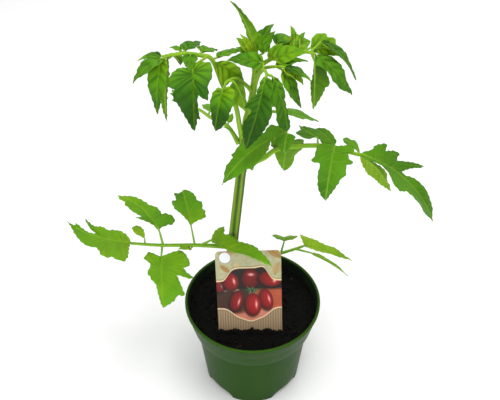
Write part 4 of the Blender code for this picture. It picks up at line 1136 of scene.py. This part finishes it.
def picture_ink(x, z):
    """The picture: tomatoes on a wooden board, one with a green calyx in front."""
    board = 0.5 + 0.5 * noise.noise(Vector((x * 0.05, z * 0.55, 7)))
    ink = blend((0.72, 0.36, 0.24), (0.55, 0.22, 0.14), board)
    ink = blend(ink, (0.76, 0.46, 0.38), step(16.5 + 0.12 * x - z, 4))
    ink = blend(ink, (0.20, 0.12, 0.09), step(-2 - x + 0.4 * (z - 25), 9) * step(z - 15, 5) * 0.95)
    ink = blend(ink, (0.10, 0.09, 0.07), step(z - 36.4, 3))
    rim = 1.1 - abs(z - 36.2 - 0.02 * x)
    ink = blend(ink, (0.82, 0.68, 0.60), 0.7 * step(rim) * step(-9 - x, 4))
    for centre_x, centre_z, wide, tall, turn, bright in TOMATOES:
        u, v, edge = oval(x, z, centre_x, centre_z, wide, tall, turn)
        shadow = oval(x, z, centre_x - 0.8, centre_z - 1.2, wide + 0.6, tall + 0.3, turn)[2]
        ink = blend(ink, (0.07, 0.05, 0.04), 0.8 * step(shadow, 2.4))
        bulge = math.sqrt(max(0.0, 1 - u * u - v * v))
        red = blend((0.26, 0.02, 0.04), (0.72, 0.09, 0.10), bulge * (0.75 + 0.2 * u))
        glint = math.exp(-((u - 0.42) / 0.14) ** 2 - ((v + 0.02) / 0.34) ** 2)
        red = blend(tuple(bright * k for k in red), (0.98, 0.85, 0.80), 0.8 * glint)
        ink = blend(ink, red, step(edge))
    for k in range(7):
        angle = math.radians(200 + 28 * k + 9 * math.sin(k * 2.1))
        lift = CALYX_TALL * abs(math.sin(angle)) * (-0.7 if k in (2, 4) else 0.9)
        for reach in (0.3, 0.55, 0.8, 1.0):
            centre_x = CALYX[0] + CALYX_WIDE * reach * math.cos(angle)
            centre_z = CALYX[1] + reach * lift
            width = 1.5 * (1.15 - reach)
            lit = step(0.35 * width - abs(x - centre_x - 0.3), 0.4)
            near = math.hypot(x - centre_x, (z - centre_z) * 1.2)
            ink = blend(ink, blend((0.09, 0.17, 0.09), (0.36, 0.50, 0.33), lit),
                        step(width - near, 0.5))
    return ink


def label_ink(x, z):
    """The colour printed at a place on the label: the picture between two waved edges."""
    upper = (43.5 + 11.5 * math.exp(-((x + 1) / 17.5) ** 6)
             + 3.2 * math.exp(-((x - 14.5) / 5.5) ** 2))
    lower = (20.0 - 9.6 * math.exp(-((x - 1) / 17.0) ** 4)
             - 2.4 * math.exp(-((x - 1) / 5.5) ** 2))
    inside = min(upper - z, z - lower)
    ink = blend(paper_ink(x, z), (0.42, 0.36, 0.22), 0.8 * step(0.25 - abs(inside + 1.7)))
    ink = blend(ink, (0.86, 0.76, 0.60), step(inside + 1.1))
    return blend(ink, picture_ink(x, z), step(inside))


def linear(value):
    """An sRGB value, as the inks are given in, as linear light."""
    return value / 12.92 if value <= 0.04045 else ((value + 0.055) / 1.055) ** 2.4


def label_half_width(z):
    """Half the label's width at a height above the soil."""
    half, stake = LABEL_WIDTH / 2, LABEL_STAKE_WIDTH / 2
    into = z - LABEL_ABOVE + LABEL_CORNER
    if into > 0:
        return half - LABEL_CORNER + math.sqrt(max(0.0, LABEL_CORNER ** 2 - into ** 2))
    if z < -LABEL_SHOULDER:
        return stake + (half - stake) * (z + LABEL_BELOW) / (LABEL_BELOW - LABEL_SHOULDER)
    return half


def label_shape():
    """The label: a thin sheet, slightly bowed, printed on its front."""
    lean = Matrix.Rotation(math.radians(-LABEL_LEAN), 4, "X")
    tilt = Matrix.Rotation(math.radians(LABEL_TILT), 4, "Y")
    place = Matrix.Translation((*LABEL_FOOT, SOIL_TOP + SOIL_MOUND)) @ lean @ tilt
    corners = LABEL_ABOVE - LABEL_CORNER
    heights = [-LABEL_BELOW + (LABEL_BELOW - LABEL_SHOULDER) * k / 6 for k in range(6)]
    heights += [-LABEL_SHOULDER + (corners + LABEL_SHOULDER) * k / 164 for k in range(164)]
    heights += [corners + LABEL_CORNER * math.sin(math.pi / 2 * k / 12) for k in range(13)]
    front, back, ink = [], [], []
    plain = (0.80, 0.76, 0.64)
    for z in heights:
        half = label_half_width(z)
        for k in range(LABEL_COLUMNS):
            x = half * (-1 + 2 * k / (LABEL_COLUMNS - 1))
            bow = 0.5 * (1 - (x / 28) ** 2) * max(0.0, z) / LABEL_ABOVE
            front.append(place @ Vector((x, -LABEL_THICKNESS / 2 - bow, z)))
            back.append(place @ Vector((x, LABEL_THICKNESS / 2 - bow, z)))
            ink.append(label_ink(x, (z - 0.6) / PRINT_STRETCH) if z > -3 else plain)
    ink = [(*map(linear, colour), 1.0) for colour in ink + [plain] * len(back)]
    shape = Shape()
    shape.add(front + back, slab_faces(len(heights), LABEL_COLUMNS), ink=ink)
    return shape


# ---- stage

def area_light(name, place, target, size, power):
    lamp = bpy.data.lights.new(name, "AREA")
    lamp.shape, lamp.size, lamp.energy = "DISK", size, power
    made = bpy.data.objects.new(name, lamp)
    made.location = place
    made.rotation_euler = (Vector(target) - Vector(place)).to_track_quat("-Z", "Y").to_euler()
    bpy.context.collection.objects.link(made)


def stage():
    """A pale floor, a white surround, three soft lights and the camera."""
    count, size = 24, 6000.0
    steps = [size * (i / count - 0.5) * MM for i in range(count + 1)]
    mesh = bpy.data.meshes.new("floor")
    mesh.from_pydata([(x, y, 0) for x in steps for y in steps], [],
                     flipped(grid_faces(count + 1, count + 1)))
    mesh.materials.append(floor_finish())
    made = bpy.data.objects.new("floor", mesh)
    bpy.context.collection.objects.link(made)

    world = bpy.data.worlds.new("studio")
    world.use_nodes = True
    background = world.node_tree.nodes["Background"]
    background.inputs["Color"].default_value = (1, 1, 1, 1)
    background.inputs["Strength"].default_value = WORLD_LIGHT
    bpy.context.scene.world = world
    area_light("key", (0.15, -0.15, 1.6), (0, 0, 0.15), 0.8, KEY_LIGHT)
    area_light("fill", (-0.35, -1.3, 0.5), (0, 0, 0.15), 1.0, FILL_LIGHT)
    area_light("back", (0.3, 1.2, 1.1), (0, 0, 0.25), 0.8, BACK_LIGHT)

    camera = bpy.data.cameras.new("camera")
    camera.lens = 50
    camera.sensor_width = 36
    camera.dof.use_dof = False
    eye = bpy.data.objects.new("camera", camera)
    eye.location = CAMERA_PLACE
    eye.rotation_euler = (math.radians(CAMERA_TURN), 0, 0)
    bpy.context.collection.objects.link(eye)
    bpy.context.scene.camera = eye
    bpy.context.scene.view_settings.view_transform = "Standard"


# ---- the object

def build():
    leaf_materials = [leaf_top_finish(), leaf_under_finish(),
                      stalk_finish("leaf stalk", (0.23, 0.42, 0.02), (0.09, 0.24, 0.008)),
                      hair_finish()]
    stem_material = stalk_finish("stem skin", (0.19, 0.31, 0.02), (0.022, 0.07, 0.003))
    for name, data in LEAVES.items():
        piece(name.replace("leaf_", "foliage_"), leaf(*data), leaf_materials, "leaf_blade", name)
    piece("young_foliage", leaf(*GROWING_TIP), leaf_materials, "young_leaf", "growing_tip")
    piece("ridged_stem", stem_shape(), [stem_material, leaf_materials[HAIR]], "stem_skin",
          "main_stem")
    piece("nursery_pot", pot_shape(), [pot_finish(), pot_inside_finish()], "pot_plastic", "pot")
    piece("soil_bed", soil_shape(), [soil_finish()], "potting_soil", "soil")
    piece("soil_crumbs", crumbs_shape(), [crumb_finish()], "potting_soil")
    piece("picture_label", label_shape(), [print_finish()], "label_card", "plant_label")


stage()
build()
